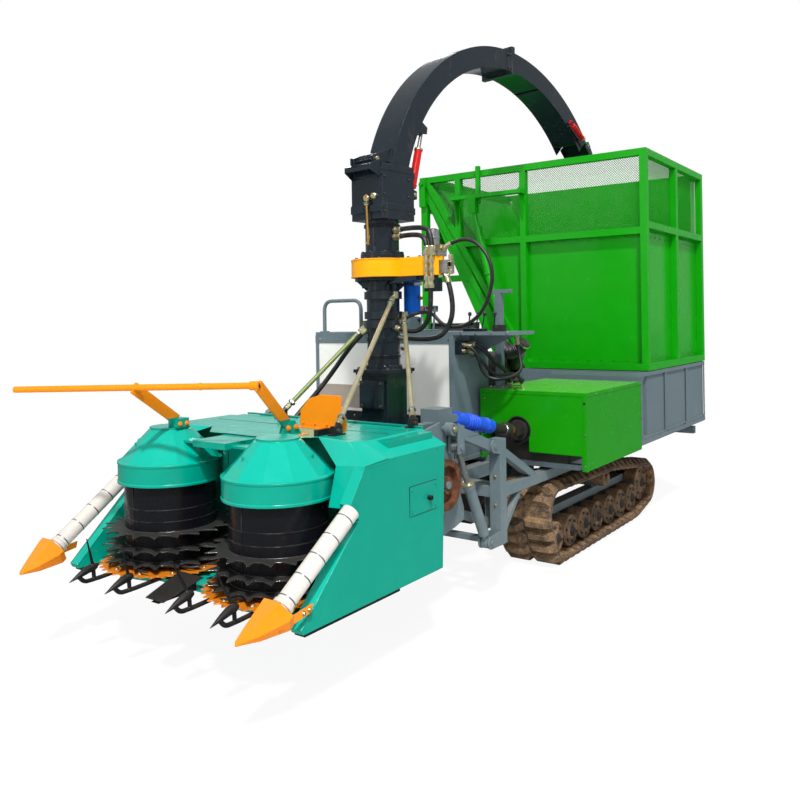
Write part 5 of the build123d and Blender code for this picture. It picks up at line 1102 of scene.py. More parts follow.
class HARVESTER_OT_console(bpy.types.Operator):
    """Edges, blank plates, gauges, knobs, levers and valve block at the operator's place"""

    bl_idname = "harvester.console"
    bl_label = "Console fittings"

    def execute(self, context):
        low, high = low_high("console")
        front = low.y
        trim = Piece("console_trim", "grey", "sign", "slate", "plastic", "red", "gauge", "zinc")
        side_x, edge_z = 0.225, high.z - 0.022
        # blank plates and seam strips on the front
        trim.box((low.x, front - 0.005, high.z - 0.075), (side_x, front + 0.001, edge_z), 0)
        trim.box((low.x, front - 0.004, low.z), (side_x, front + 0.001, low.z + 0.26), 2)
        trim.box((low.x + 0.03, front - 0.0035, 0.98), (low.x + 0.42, front + 0.001, 1.135), 1)
        for x in (low.x + 0.004, -0.40, side_x - 0.03):
            trim.box((x, front - 0.006, low.z), (x + 0.026, front + 0.001, edge_z), 0)
        # gauges and knobs of the control panel
        face_z, face_way = 1.565, (0, 0.55, 0.83)
        for x in (-0.40, -0.32, -0.24, -0.16):
            trim.lathe((x, -0.160, face_z), face_way, ((0, 0.030), (0.014, 0.030), (0.016, 0.026)), 24, 3)
            trim.nut((x, -0.151, face_z + 0.0135), face_way, 0.025, 0.001, 5, 24)
        for x, finish in ((-0.11, 4), (-0.06, 3), (-0.01, 3)):
            trim.lathe((x, -0.18, 1.628), (0, 0.1, 1),
                       ((0, 0.008), (0.010, 0.019), (0.024, 0.021), (0.032, 0.012)),
                       16, finish)
        # small valve block on the side, thin levers with their foot plate and a junction box on the table
        trim.box((side_x - 0.001, -0.315, 1.350), (side_x + 0.050, -0.225, 1.435), 2)
        for y in (-0.292, -0.248):
            for z in (1.410, 1.372):
                trim.lathe((side_x + 0.049, y, z), (1, 0, 0),
                           ((0, 0.013), (0.014, 0.013), (0.016, 0.009)), 6, 6)
        for x, y, lean in ((0.270, -0.225, 0.020), (0.315, -0.220, 0.035), (0.360, -0.215, 0.030),
                           (0.420, -0.160, 0.012)):
            tip = Vector((x + lean, y - 0.010, high.z + 0.105))
            trim.rod((x, y, high.z - 0.002), tip, 0.0045, 8, 2)
            trim.lathe(tip - UP * 0.009, UP,
                       ((0, 0.006), (0.005, 0.011), (0.018, 0.012), (0.026, 0.006)), 12, 3)
        trim.box((0.250, -0.255, high.z - 0.001), (0.390, -0.190, high.z + 0.018), 2)
        trim.box((0.455, -0.245, high.z - 0.001), (0.520, -0.185, high.z + 0.040), 3)
        # pedal plate
        trim.box((-0.62, -0.20, low.z - 0.001), (-0.50, -0.06, low.z + 0.03), 3)
        trim.done("chassis", "frame_grey")
        bolts = Bolts()
        for start_x, end_x, y, z, count, size in (
            (low.x + 0.04, side_x - 0.03, front - 0.005, high.z - 0.05, 8, 0.55),
            (low.x + 0.04, side_x - 0.03, front - 0.004, low.z + 0.23, 8, 0.55),
            (0.28, 0.60, front, high.z - 0.01, 4, 0.6),
        ):
            bolts.row((start_x, y, z), (end_x, y, z), count, FRONT, size)
        bolts.done("console_screws", "chassis", "steel", "steel")
        return {"FINISHED"}


class HARVESTER_OT_air_intake(bpy.types.Operator):
    """Ribbed air hose with clamps, cleaner bands and the exhaust pipe"""

    bl_idname = "harvester.air_intake"
    bl_label = "Air intake"

    def execute(self, context):
        intake = Piece("air_hose", "plastic", "steel", "iron")
        line = bend([(0.235, 0.440, 1.320), (0.235, 0.270, 1.395), (0.330, 0.135, 1.345), (0.430, 0.115, 1.350),
                     (0.500, 0.100, 1.420)], 0.07, 14)
        ribs, radii = [], []
        walked = 0.0
        for a, b in zip(line, line[1:]):
            length = (b - a).length
            count = max(1, round(length / 0.0045))
            for step in range(count):
                ribs.append(a.lerp(b, step / count))
                radii.append(0.041 + 0.0035 * sin((walked + length * step / count) * 2 * pi / 0.016))
            walked += length
        intake.sweep(ribs, radii, 20, 0)
        for spot, way in ((ribs[3], ribs[4] - ribs[2]), (ribs[-4], ribs[-3] - ribs[-5])):
            intake.nut(spot - way.normalized() * 0.007, way, 0.047, 0.014, 1, 28)
        for x, finish in ((-0.082, 0), (-0.045, 1), (0.165, 1), (0.198, 0)):
            intake.band((x, 0.480, 1.240), (1, 0, 0), 0.096, 0.099, 0.012, 36, finish, 0.003)
        # exhaust pipe with its rain flap
        intake.rod((0.10, 0.72, 0.699), (0.10, 0.72, 1.30), 0.030, 20, 2)
        intake.band((0.10, 0.72, 0.86), UP, 0.032, 0.062, 0.28, 28, 2, 0.02)
        intake.lathe((0.10, 0.69, 1.297), (0, 0.30, 1), ((0, 0.0), (0.001, 0.034), (0.005, 0.034)), 20, 2)
        intake.done("chassis", "black_plastic")
        return {"FINISHED"}


class HARVESTER_OT_header_trim(bpy.types.Operator):
    """Hatches, closing sheets, shoes, strut feet, seams and skids of the header"""

    bl_idname = "harvester.header_trim"
    bl_label = "Header trim"

    def execute(self, context):
        low, high = low_high("header_shell")
        roof, groove = 1.0345, 0.0015
        trim = Piece("header_trim", "teal", "rubber", "black", "steel")
        bolts = Bolts()
        for side in SIDES:
            face = side * high.x
            sunk = face - side * 0.001
            # service hatch: gasket line, door, knob
            trim.box((sunk, -1.5865, 0.6815), (face + side * 0.0015, -1.3655, 0.8185), 1)
            trim.box((sunk, -1.584, 0.684), (face + side * 0.0035, -1.368, 0.816))
            trim.lathe((face + side * 0.003, -1.44, 0.745), (side, 0, 0),
                       ((0, 0.011), (0.010, 0.008), (0.012, 0.013), (0.022, 0.012)), 16, 2)
            for y in (-1.572, -1.380):
                for z in (0.700, 0.800):
                    bolts.add((face + side * 0.003, y, z), (side, 0, 0), 0.45)
            bolts.row((face, -1.70, 0.965), (face, -1.36, 0.965), 3, (side, 0, 0), 0.4)
            # dark shoe under the box
            trim.box((side * (high.x - 0.060), -2.275, low.z + 0.026),
                     (side * (high.x - 0.006), -1.66, low.z + 0.041),
                     2)
            # sheets that close the front of the box up to the roof
            roof_in, roof_out, chest, corner, toe_in, toe_out, top, rear = (
                Vector((side * x, y, z)) for x, y, z in (
                    (0.368, -1.7425, 1.0365), (0.586, -1.783, 1.0365), (0.608, -1.897, 0.950),
                    (0.7735, -1.902, 0.9625), (0.640, -1.985, 0.792), (0.7735, -1.990, 0.800),
                    (0.634, -1.738, 1.0375), (0.7735, -1.738, 0.9725)))
            trim.plate((corner, rear, rear - UP * 0.020, corner - UP * 0.012), (-side * 0.003, 0, 0))
            for corners in ((roof_in, roof_out, corner, chest), (chest, corner, toe_out, toe_in),
                            (roof_out, top, rear, corner), (roof_in, top, roof_out)):
                trim.plate(corners, (0, 0.002, -0.002))
        # sheet between the caps with its framed hatch
        bridge = ((-0.368, -1.7425), (0.368, -1.7425), (0.225, -1.880), (-0.225, -1.880))
        trim.plate([(x, y, 1.0365) for x, y in bridge], (0, 0, -0.003))
        trim.box((-0.130, -1.880, 0.800), (0.130, -1.877, 1.0365))
        hatch_x, hatch_low, hatch_high = 0.092, 0.830, 0.985
        for x in (-hatch_x, hatch_x):
            trim.box((x - groove, -1.8815, hatch_low), (x + groove, -1.8795, hatch_high), 1)
        for z in (hatch_low, hatch_high):
            trim.box((-hatch_x - groove, -1.8815, z - groove), (hatch_x + groove, -1.8795, z + groove), 1)
        # black feet of the struts
        for _, (x, y, _) in STRUTS:
            trim.box((x - 0.022, y - 0.040, roof), (x + 0.022, y + 0.040, 1.042), 2)
        # seam, hinge line and skids
        trim.box((-0.60, -1.50, roof), (0.60, -1.4975, 1.0362), 1)
        trim.box((-0.62, -1.262, roof), (0.62, -1.245, 1.044))
        for skid in (-0.48, 0.48):
            trim.box((skid - 0.055, -2.13, low.z - 0.004), (skid + 0.055, -1.36, low.z + 0.002), 3)
        trim.done("header", "teal")
        bolts.done("header_bolts", "header", "teal", "teal")
        return {"FINISHED"}


class HARVESTER_OT_drum_caps(bpy.types.Operator):
    """Drum caps: round bands with rolled rims and cones folded into flats"""

    bl_idname = "harvester.drum_caps"
    bl_label = "Drum caps"

    def execute(self, context):
        sides = context.scene.harvester.cap_sides
        top = low_high("drum_caps")[1].z
        caps = Piece("drum_cap_sheets", "teal")
        bolts = Bolts()
        foot, cone, wide, narrow = 0.815, 0.914, 0.245, 0.096
        for side in SIDES:
            centre = Vector((side * DRUM_X, DRUM_Y, 0))
            # the band is round and the cone above it is folded into flats
            for profile, count in (
                (((foot, wide), (cone, wide), (cone - 0.004, wide - 0.006), (foot, wide - 0.006)), 64),
                (((cone - 0.003, wide - 0.004), (cone, wide - 0.0005), (top - 0.012, narrow + 0.008),
                  (top - 0.010, narrow)), sides),
                (((top - 0.012, narrow), (top, narrow), (top, narrow - 0.02)), 40),
                (((cone - 0.010, wide + 0.0005), (cone - 0.008, wide + 0.003), (cone + 0.001, wide + 0.003),
                  (cone + 0.003, wide - 0.001)), 64),
                (((foot - 0.0005, wide + 0.0005), (foot, wide + 0.003), (foot + 0.010, wide + 0.003),
                  (foot + 0.012, wide + 0.0005)), 64),
            ):
                caps.lathe(centre, UP, profile, count)
            for step in range(0, sides, 4):
                angle = 2 * pi * (step + 0.5) / sides
                out = Vector((cos(angle), sin(angle), 0))
                bolts.add(centre + out * 0.170 + UP * 1.001, out * 0.72 + UP * 0.70, 0.6)
            # bracket that joins the cap to the tongue of the roof
            caps.box((side * 0.105, DRUM_Y - 0.034, 1.004), (side * 0.25, DRUM_Y + 0.034, 1.016))
        caps.done("header", "teal", "drum_caps", angle=18)
        bolts.done("cap_bolts", "header", "teal", "teal")
        return {"FINISHED"}


class HARVESTER_OT_dividers(bpy.types.Operator):
    """Folded divider points with straps, and bands round the divider tubes"""

    bl_idname = "harvester.dividers"
    bl_label = "Row dividers"

    def execute(self, context):
        points = Piece("divider_cones", "orange")
        bands = Piece("divider_bands", "steel", "white")
        bolts = Bolts()
        for side in SIDES:
            foot, neck, tip = (Vector((side * x, y, z)) for x, y, z in (
                (0.758, -1.980, 0.790), (0.750, -2.393, 0.504), (0.720, -2.580, 0.434)))
            along = (neck - foot).normalized()
            up = (UP - along * along.z).normalized()
            across = along.cross(up)
            # the point is folded from sheet: its sections have six corners
            sections = (
                (neck + along * 0.004, 0.060, 0.0), (neck, 0.076, 0.0), (neck + along * 0.022, 0.076, 0.002),
                (neck.lerp(tip, 0.62), 0.040, 0.006), (tip - along * 0.012, 0.012, 0.002), (tip, 0.004, 0.001),
            )
            points.loft([[centre + across * radius * cos(corner * pi / 3) + up * radius * sin(corner * pi / 3)
                          - UP * droop for corner in range(6)] for centre, radius, droop in sections])
            strap = neck + along * 0.02 + Vector((side * 0.035, 0, -0.034))
            outline = ((-0.02, -0.016), (0.150, 0.010), (0.158, 0.040), (-0.02, 0.018))
            points.plate([strap + Vector((0, y, z)) for y, z in outline], (side * 0.006, 0, 0))
            for way in (0.105, 0.136):
                bolts.add(strap + Vector((side * 0.006, way, way * 0.17)), (side, 0, 0), 0.75)
            bolts.add(neck + along * 0.075 + up * 0.043, up, 0.6)
            for share in (0.10, 0.30, 0.50, 0.70, 0.90):
                bands.band(foot.lerp(neck, share) - along * 0.003, along, 0.0375, 0.0392, 0.0068, 32, 0, 0.0008)
            bands.lathe(foot.lerp(neck, 0.93), along,
                        ((0, 0.038), (0.003, 0.043), (0.020, 0.043), (0.022, 0.038)),
                        32, 1)
        points.done("header", "orange", "divider_points", angle=12)
        bands.done("header", "white")
        bolts.done("divider_bolts", "header", "zinc", "zinc")
        return {"FINISHED"}


class HARVESTER_OT_crop_guides(bpy.types.Operator):
    """Tapered crop guides at the floor, and bands, hooked sweeps and saw bolts of the drums"""

    bl_idname = "harvester.crop_guides"
    bl_label = "Crop guides and sweeps"

    def execute(self, context):
        guides = Piece("guide_bars", "black")
        low, high = low_high("crop_guides")
        sole = low.z + 0.011
        for side in SIDES:
            for x in (side * 0.205, side * 0.475):
                joint = Vector((x, -2.366, 0.454))
                prong = [joint + Vector((0, 0.018, 0.003)), joint, joint + Vector((0, -0.030, -0.006)),
                         (x, -2.432, 0.434), (x, low.y + 0.003, 0.413)]
                guides.sweep(prong, (0.012, 0.0195, 0.018, 0.013, 0.0015), 14)
                skid = bend([(x, y, z) for y, z in ((-2.440, 0.428), (-2.412, sole), (-2.340, sole),
                                                    (-2.190, 0.404))], 0.02)
                guides.sweep(skid, [0.010] * len(skid))
                guides.rod(joint, (x, -2.362, sole), 0.009, 12)
                finger = [joint, (x - side * 0.014, -2.386, 0.506), (x - side * 0.037, -2.420, high.z - 0.006)]
                guides.sweep(finger, (0.008, 0.0065, 0.0025), 10)
        # rib and plate in the middle
        rib = ((-2.383, low.z), (-2.181, low.z), (-2.181, 0.440))
        guides.plate([(-0.025, y, z) for y, z in rib], (0.050, 0, 0))
        shelf = ((-0.082, -2.186, 0.452), (0.082, -2.186, 0.452), (0.060, -2.385, 0.396),
                 (-0.060, -2.385, 0.396))
        guides.plate(shelf, (0, 0, 0.003))
        guides.done("header", "black", "crop_guides")
        for side, word in SIDE_WORDS:
            centre = Vector((side * DRUM_X, DRUM_Y, 0))
            sweeps = Piece("drum_sweeps_" + word, "black")
            sweeps.lathe(centre, UP, ((0.846, 0.215), (0.851, 0.213), (0.851, 0.06)), 48)
            for level in (0.492, 0.645, 0.700):
                sweeps.band(centre + UP * level, UP, DRUM_RADIUS - 0.0005, DRUM_RADIUS + 0.0015, 0.007)
            # hooked arms that sweep cut stalks off the saw
            for step in range(8):
                angle = 2 * pi * (step + 0.3) / 8
                line = []
                for reach, swing in ((0.205, 0.0), (0.250, 0.05), (0.290, 0.16), (0.312, 0.34)):
                    turned = angle - side * swing
                    line.append(centre + Vector((cos(turned) * reach, sin(turned) * reach, 0.448)))
                sweeps.sweep(line, (0.011, 0.009, 0.007, 0.003), 6)
            # seam of the drum shell
            sweeps.box((centre.x - 0.004, centre.y - 0.2195, 0.47),
                       (centre.x + 0.004, centre.y - 0.2150, 0.845))
            sweeps.done("feed_drum_" + word, "black")
            bolts = Bolts().ring(centre + UP * 0.4309, UP, 0.285, 12, 0.9, 0.13)
            bolts.done("saw_bolts_" + word, "feed_drum_" + word, "zinc", "zinc")
        return {"FINISHED"}


class HARVESTER_OT_header_bars(bpy.types.Operator):
    """End cap, collar, foot plate and bolts of the push bar and the feed guard"""

    bl_idname = "harvester.header_bars"
    bl_label = "Bar fittings"

    def execute(self, context):
        near, far = Vector((0.330, -2.080, 1.300)), Vector((-0.750, -2.575, 1.280))
        along = (far - near).normalized()
        bars = Piece("bar_caps", "orange", "plastic")
        bars.lathe(near - along * 0.006, along, ((0, 0.013), (0.003, 0.0205), (0.030, 0.0205)), 20)
        bars.rod(near - along * 0.0075, near - along * 0.004, 0.0115, 20, 1)
        bars.band(near.lerp(far, 0.22), along, 0.0145, 0.0165, 0.014, 20, slope=0.002)
        bars.box((0.20, -1.88, 1.0345), (0.27, -1.70, 1.040))
        bars.done("header", "orange")
        bolts = Bolts()
        for start, end, count, way, size in (
            ((0.2475, -1.815, 1.078), (0.2475, -1.765, 1.078), 2, (1, 0, 0), 1.0),
            ((-0.262, -2.03, 1.09), (-0.262, -1.99, 1.09), 2, (1, 0, 0), 0.9),
            ((0.09, -1.505, 1.0965), (0.30, -1.505, 1.0965), 3, UP, 0.7),
            ((0.08, -1.533, 1.06), (0.32, -1.533, 1.06), 4, FRONT, 0.6),
        ):
            bolts.row(start, end, count, way, size)
        bolts.done("bar_bolts", "header", "orange", "orange")
        return {"FINISHED"}


class HARVESTER_OT_tower(bpy.types.Operator):
    """Gussets, bands, bolts, hydraulic fittings and strut ends of the tower and its drive"""

    bl_idname = "harvester.tower"
    bl_label = "Tower fittings"

    def execute(self, context):
        fittings = Piece("tower_fittings", "slate", "zinc", "brass", "black", "steel", "yellow")
        axis = Vector((0, TOWER_Y, 0))
        bolts = Bolts().ring(axis + UP * 1.3055, UP, 0.104, 8, 0.5, 0.2)
        for x, y in ((0.105, 0.105), (-0.105, 0.105), (0.105, -0.105), (-0.105, -0.105)):
            bolts.add((x, TOWER_Y + y, 1.2855), UP, 1.2)
        # gussets under the slew drive and two bands lower down
        for step in range(4):
            angle = pi / 4 + step * pi / 2
            out = Vector((cos(angle), sin(angle), 0))
            side = Vector((-sin(angle), cos(angle), 0)) * 0.003
            foot = axis + out * 0.096 - side
            fittings.plate((foot + UP * 1.802, foot + out * 0.060 + UP * 1.802, foot + UP * 1.745), side * 2)
        seat = TOWER_RADIUS + 0.0005
        fittings.band(axis + UP * 1.445, UP, seat, 0.1045, 0.030)
        fittings.band(axis + UP * 1.348, UP, seat, 0.102, 0.020, finish=3)
        # rim of the slew drive: upper flange, lower flange and bolts round it
        for z in (1.8235, 1.9225):
            fittings.band(axis + UP * z, UP, 0.184, 0.188, 0.007, 64, 5)
        for angle in [radians(step) for step in range(60, 301, 30)]:
            bolts.add((cos(angle) * 0.165, TOWER_Y + sin(angle) * 0.165, 1.930), UP, 0.9)
        for x in (0.22, 0.30):
            for y in (-0.045, 0.045):
                bolts.add((x, TOWER_Y + y, 1.930), UP, 0.8)
        # dark wedge under the casing, block with its fittings at the casing's end
        casing = low_high("slew_drive")[1].x
        wedge = ((-0.088, -0.092, 1.820), (0.290, -0.070, 1.820), (0.290, -0.070, 1.800),
                 (-0.086, -0.092, 1.762))
        fittings.plate([axis + Vector(corner) for corner in wedge], (0, 0.150, 0))
        fittings.box((casing - 0.006, TOWER_Y - 0.030, 1.832), (casing + 0.050, TOWER_Y + 0.045, 1.905), 4)
        for x, y, foot, high in ((0.372, -0.086, 1.748, 1.965), (0.402, -0.078, 1.748, 1.965),
                                 (casing + 0.058, -0.004, 1.825, 1.935)):
            fittings.rod((x, TOWER_Y + y, foot), (x, TOWER_Y + y, high), 0.010, 14, 1)
            for z in (foot, foot + 0.045, (foot + high) / 2 - 0.012, high - 0.075, high - 0.026):
                fittings.nut((x, TOWER_Y + y, z), UP, 0.0155, 0.024, 1)
        # motor: end plate, shaft nut and port block
        motor = Vector((0.36, TOWER_Y, 0))
        fittings.band(motor + UP * 2.030, UP, 0.0405, 0.044, 0.011, 32, 4)
        fittings.lathe(motor + UP * 2.0795, UP, ((0, 0.030), (0.005, 0.030), (0.008, 0.024)), 24, 3)
        fittings.box((0.400, TOWER_Y - 0.022, 1.955), (0.425, TOWER_Y + 0.048, 1.995), 1)
        # ports: place from the tower's axis, the way they face, finish
        for place, way, finish in (
            ((0.424, -0.006, 1.975), (1, 0, 0), 2), ((0.40, 0.047, 1.975), (0, 1, 0), 1),
            ((0.395, 0.030, 1.928), (0, 0, 1), 2), ((0.300, 0.064, 1.850), (0, 1, 0), 1),
            ((0.06, 0.100, 1.40), (0.3, 1, 0), 1), ((0.170, 0.130, 1.70), (1, 0, 0), 2),
        ):
            port = axis + Vector(place)
            fittings.nut(port, way, 0.013, 0.012, finish)
            fittings.nut(port + Vector(way).normalized() * 0.012, way, 0.009, 0.010, finish, 14)
        # filter head and drain
        fittings.box((0.075, TOWER_Y + 0.090, 1.776), (0.165, TOWER_Y + 0.170, 1.804), 4)
        fittings.lathe((0.12, TOWER_Y + 0.13, 1.597), UP, ((0, 0.020), (0.010, 0.034)), 24, 3)
        # clevis ends and lock nuts of the struts
        for top, foot in STRUTS:
            top, foot = Vector(top), Vector(foot)
            along = (foot - top).normalized()
            for start, way in ((top + along * 0.035, along), (foot - along * 0.030, -along)):
                fittings.lathe(start, way, ((0, 0.017), (0.030, 0.017), (0.032, 0.0145)), 8, 1)
                fittings.nut(start + way * 0.044, way, 0.021, 0.013, 4)
            bolts.add(foot + Vector((0.012, 0, -0.01)), (1, 0, 0), 1.2)
        # service plate and bolts on the crop duct
        fittings.box((-0.085, TOWER_Y - 0.131, 1.06), (0.085, TOWER_Y - 0.116, 1.22))
        for x in (-0.07, 0.07):
            for z in (1.075, 1.205):
                bolts.add((x, TOWER_Y - 0.131, z), FRONT, 0.8)
        fittings.done("header", "dark_slate")
        bolts.done("tower_bolts", "header", "iron", "iron")
        return {"FINISHED"}


class HARVESTER_OT_head(bpy.types.Operator):
    """Hood, bosses, collars, hanging adjuster rod, pins and bolts of the spout head"""

    bl_idname = "harvester.head"
    bl_label = "Head fittings"

    def execute(self, context):
        fittings = Piece("head_fittings", "slate", "brass", "zinc", "steel", "black")
        turn = Matrix.Rotation(HEAD_TURN, 3, "Z")
        axis = Vector((0, TOWER_Y, 0))
        # flared hood in front of the box
        rim = [on_spout(along, z, across) for along, z, across in (
            (-0.128, 2.500, -0.115), (-0.128, 2.500, 0.115), (-0.205, 2.462, 0.100), (-0.205, 2.462, -0.100))]
        fittings.plate(rim, UP * -0.005)
        for near, far in ((rim[0], rim[3]), (rim[1], rim[2])):
            fittings.plate((near, far, far - UP * 0.030, near - UP * 0.105), turn @ Vector((0.005, 0, 0)))
        fittings.plate((rim[3], rim[2], rim[2] - UP * 0.030, rim[3] - UP * 0.030), turn @ Vector((0, 0.005, 0)))
        # bosses at the front, strips on the sides, collars at the foot
        for x, z in ((-0.006, 2.285), (0.048, 2.292)):
            fittings.lathe((x, -0.868, z), FRONT, ((0, 0.019), (0.022, 0.019), (0.027, 0.014)), 20, 2)
        for z in (2.215, 2.438):
            for x in (-0.1275, 0.1245):
                fittings.box((x, TOWER_Y - 0.130, z), (x + 0.003, TOWER_Y + 0.130, z + 0.034), 0, turn, axis)
        fittings.band(axis + UP * 2.118, UP, 0.1015, 0.108, 0.020, finish=4)
        fittings.lathe(axis + UP * 1.9605, UP, ((0, 0.101), (0.0, 0.128), (0.012, 0.128), (0.016, 0.102)), 56)
        bolts = Bolts().ring(axis + UP * 1.972, UP, 0.116, 8, 0.8)
        # adjuster rod that hangs at the front
        top = Vector((0.000, -0.893, 2.302))
        fittings.rod(top, (0.010, -0.893, 2.010), 0.0075, 14, 1)
        for drop, radius, high in ((0.038, 0.015, 0.011), (0.063, 0.015, 0.011), (0.286, 0.011, 0.010)):
            fittings.nut(top - UP * drop, UP, radius, high, 2)
        fittings.nut(top - UP * 0.050, UP, 0.019, 0.003, 3, 20)
        # pins of the hinge and of the tilt cylinder: place, middle and how far out their heads start
        for along, z, middle, reach in ((-0.139, 2.502, 0.0, 0.097), (0.184, 2.325, 0.070, 0.030)):
            for way in (-1, 1):
                fittings.lathe(on_spout(along, z, middle + way * reach), turn @ Vector((way, 0, 0)),
                               ((0, 0.013), (0.010, 0.013), (0.012, 0.009)), 16, 2)
        for z in (2.20, 2.30, 2.40):
            for along in (-0.105, 0.105):
                for way in (1, -1):
                    bolts.add(on_spout(along, z, way * 0.1255), turn @ Vector((way, 0, 0)), 0.7)
        fittings.done("spout_head", "dark_slate")
        bolts.done("head_bolts", "spout_head", "iron", "iron")
        return {"FINISHED"}


class HARVESTER_OT_spout(bpy.types.Operator):
    """Bolts of the spout's flange and pin heads of its flap"""

    bl_idname = "harvester.spout"
    bl_label = "Spout fittings"

    def execute(self, context):
        turn = Matrix.Rotation(HEAD_TURN, 3, "Z")
        top = low_high("spout")[1].z - 0.026
        flange = 1.227
        spots = [(top + 0.013, -0.095 + step * 0.19 / 3) for step in range(4)]
        spots += [(z, across) for z in (top - 0.03, top - 0.12) for across in (-0.118, 0.118)]
        bolts = Bolts()
        for z, across in spots:
            for way in (-1, 1):
                bolts.add(on_spout(flange + way * 0.018, z, across), turn @ Vector((0, way, 0)), 0.75)
        bolts.done("spout_bolts", "spout", "iron", "iron")
        trim = Piece("spout_trim", "zinc")
        for way in (-1, 1):
            trim.nut(on_spout(2.297, 2.990, way * 0.084), turn @ Vector((way, 0, 0)), 0.011, 0.006)
        trim.done("spout", "dark_slate")
        return {"FINISHED"}


class HARVESTER_OT_drive_shaft(bpy.types.Operator):
    """Yoke, collar and guard rings of the drive shaft"""

    bl_idname = "harvester.drive_shaft"
    bl_label = "Drive shaft fittings"

    def execute(self, context):
        start, end = Vector((SHAFT_X, -0.130, SHAFT_Z)), Vector((0.480, -0.790, 1.028))
        run = end - start
        along = run.normalized()
        joint = Piece("shaft_joint", "rust", "steel")
        joint.lathe(start + along * 0.020, along,
                    ((0, 0.030), (0.018, 0.040), (0.046, 0.040), (0.052, 0.026)), 24, 0)
        joint.lathe(start + along * 0.080, along,
                    ((0, 0.032), (0.012, 0.034), (0.03, 0.034), (0.034, 0.028)), 24, 1)
        joint.done("pto_tube", "iron")
        guard = Piece("shaft_guard_cones", "blue")
        guard.lathe(start + run * 0.44, along,
                    ((0, 0.0405), (0.012, 0.047), (0.030, 0.047), (0.040, 0.041)), 28)
        for step in range(5):
            guard.band(start + run * (0.62 + 0.035 * step), along, 0.041, 0.0475, 0.016, 28, slope=0.004)
        guard.done("pto_sleeve", "shaft_blue")
        return {"FINISHED"}


class HARVESTER_OT_linkage(bpy.types.Operator):
    """Pin heads, ports, glands and collars of the lift, tipping, tilt and flap gear"""

    bl_idname = "harvester.linkage"
    bl_label = "Linkage fittings"

    def execute(self, context):
        for side, word in SIDE_WORDS:
            arms = Piece("arm_pins_" + word, "zinc", "grey")
            for y, z in ((-0.640, 0.862), (-1.043, 1.006)):
                arms.lathe((side * 0.674, y, z), (side, 0, 0), ((0, 0.017), (0.010, 0.017), (0.013, 0.012)), 20)
            if side == LEFT:
                arms.box((0.652, -0.90, 0.950), (0.6735, -0.80, 0.956), 1)
            arms.done("upper_arms", "frame_grey")
            glands = Piece("lift_glands_" + word, "zinc", "brass")
            base = Vector((side * 0.650, -0.690, 0.336))
            run = Vector((0, -0.296, 0.568)).normalized()
            glands.lathe(base + run * 0.402, run,
                         ((0, 0.020), (0.000, 0.036), (0.010, 0.036), (0.014, 0.020)), 24)
            glands.nut(base + run * 0.11 + Vector((0, 0.028, 0.006)), (0, 1, 0.3), 0.012, 0.016, 1)
            glands.done("lift_cylinders", "frame_grey")
        collars = Piece("tip_glands", "bin_green")
        tip = Vector((-0.331, 0, 1.310)).normalized()
        low, high = low_high("tip_cylinders")
        for y in (low.y + 0.036, high.y - 0.036):
            for reach in (0.30, 0.80):
                collars.band(Vector((-0.076, y, 1.140)) + tip * reach, tip, 0.0365, 0.041,
                             0.020, 28, slope=0.002)
        collars.done("tip_cylinders", "bin_green")
        for body, start, end, radius, reach in (
            ("tilt_cylinder", on_spout(0.184, 2.325, 0.070), on_spout(0.292, 2.733, 0.070), 0.024, 0.292),
            ("flap_cylinder", on_spout(2.000, 3.075, 0.134), on_spout(2.2725, 2.9276, 0.134), 0.019, 0.198),
        ):
            along = (end - start).normalized()
            gland = Piece(body + "_gland", "zinc", "red")
            gland.lathe(start + along * reach, along, ((0, radius), (0.001, radius + 0.004),
                                                       (0.012, radius + 0.004),
                                                       (0.014, radius - 0.010)), 24, 0)
            gland.band(start + along * 0.060, along, radius, radius + 0.003, 0.011, 24, 1)
            gland.done(body, "red")
        return {"FINISHED"}


class HARVESTER_OT_frame_bolts(bpy.types.Operator):
    """Bolts of the lamp post's foot, the deck's front edge and the lift posts"""

    bl_idname = "harvester.frame_bolts"
    bl_label = "Frame bolts"

    def execute(self, context):
        bolts = Bolts()
        for x in (0.285, 0.375):
            for y in (0.025, 0.115):
                bolts.add((x, y, 1.126), UP, 0.8)
        deck_low, deck_high = low_high("deck")
        for x in (-0.90, -0.60, -0.30, 0.0, 0.18):
            bolts.add((x, deck_low.y + 0.03, deck_high.z), UP, 0.7)
        for side in SIDES:
            # the lowest one is far too small to see
            for z, size in ((0.36, 0.0001), (0.52, 0.8), (0.68, 0.8), (0.82, 0.8)):
                bolts.add((side * 0.650, -0.585, z), FRONT, size)
        bolts.done("frame_bolt_heads", "chassis", "zinc", "zinc")
        return {"FINISHED"}


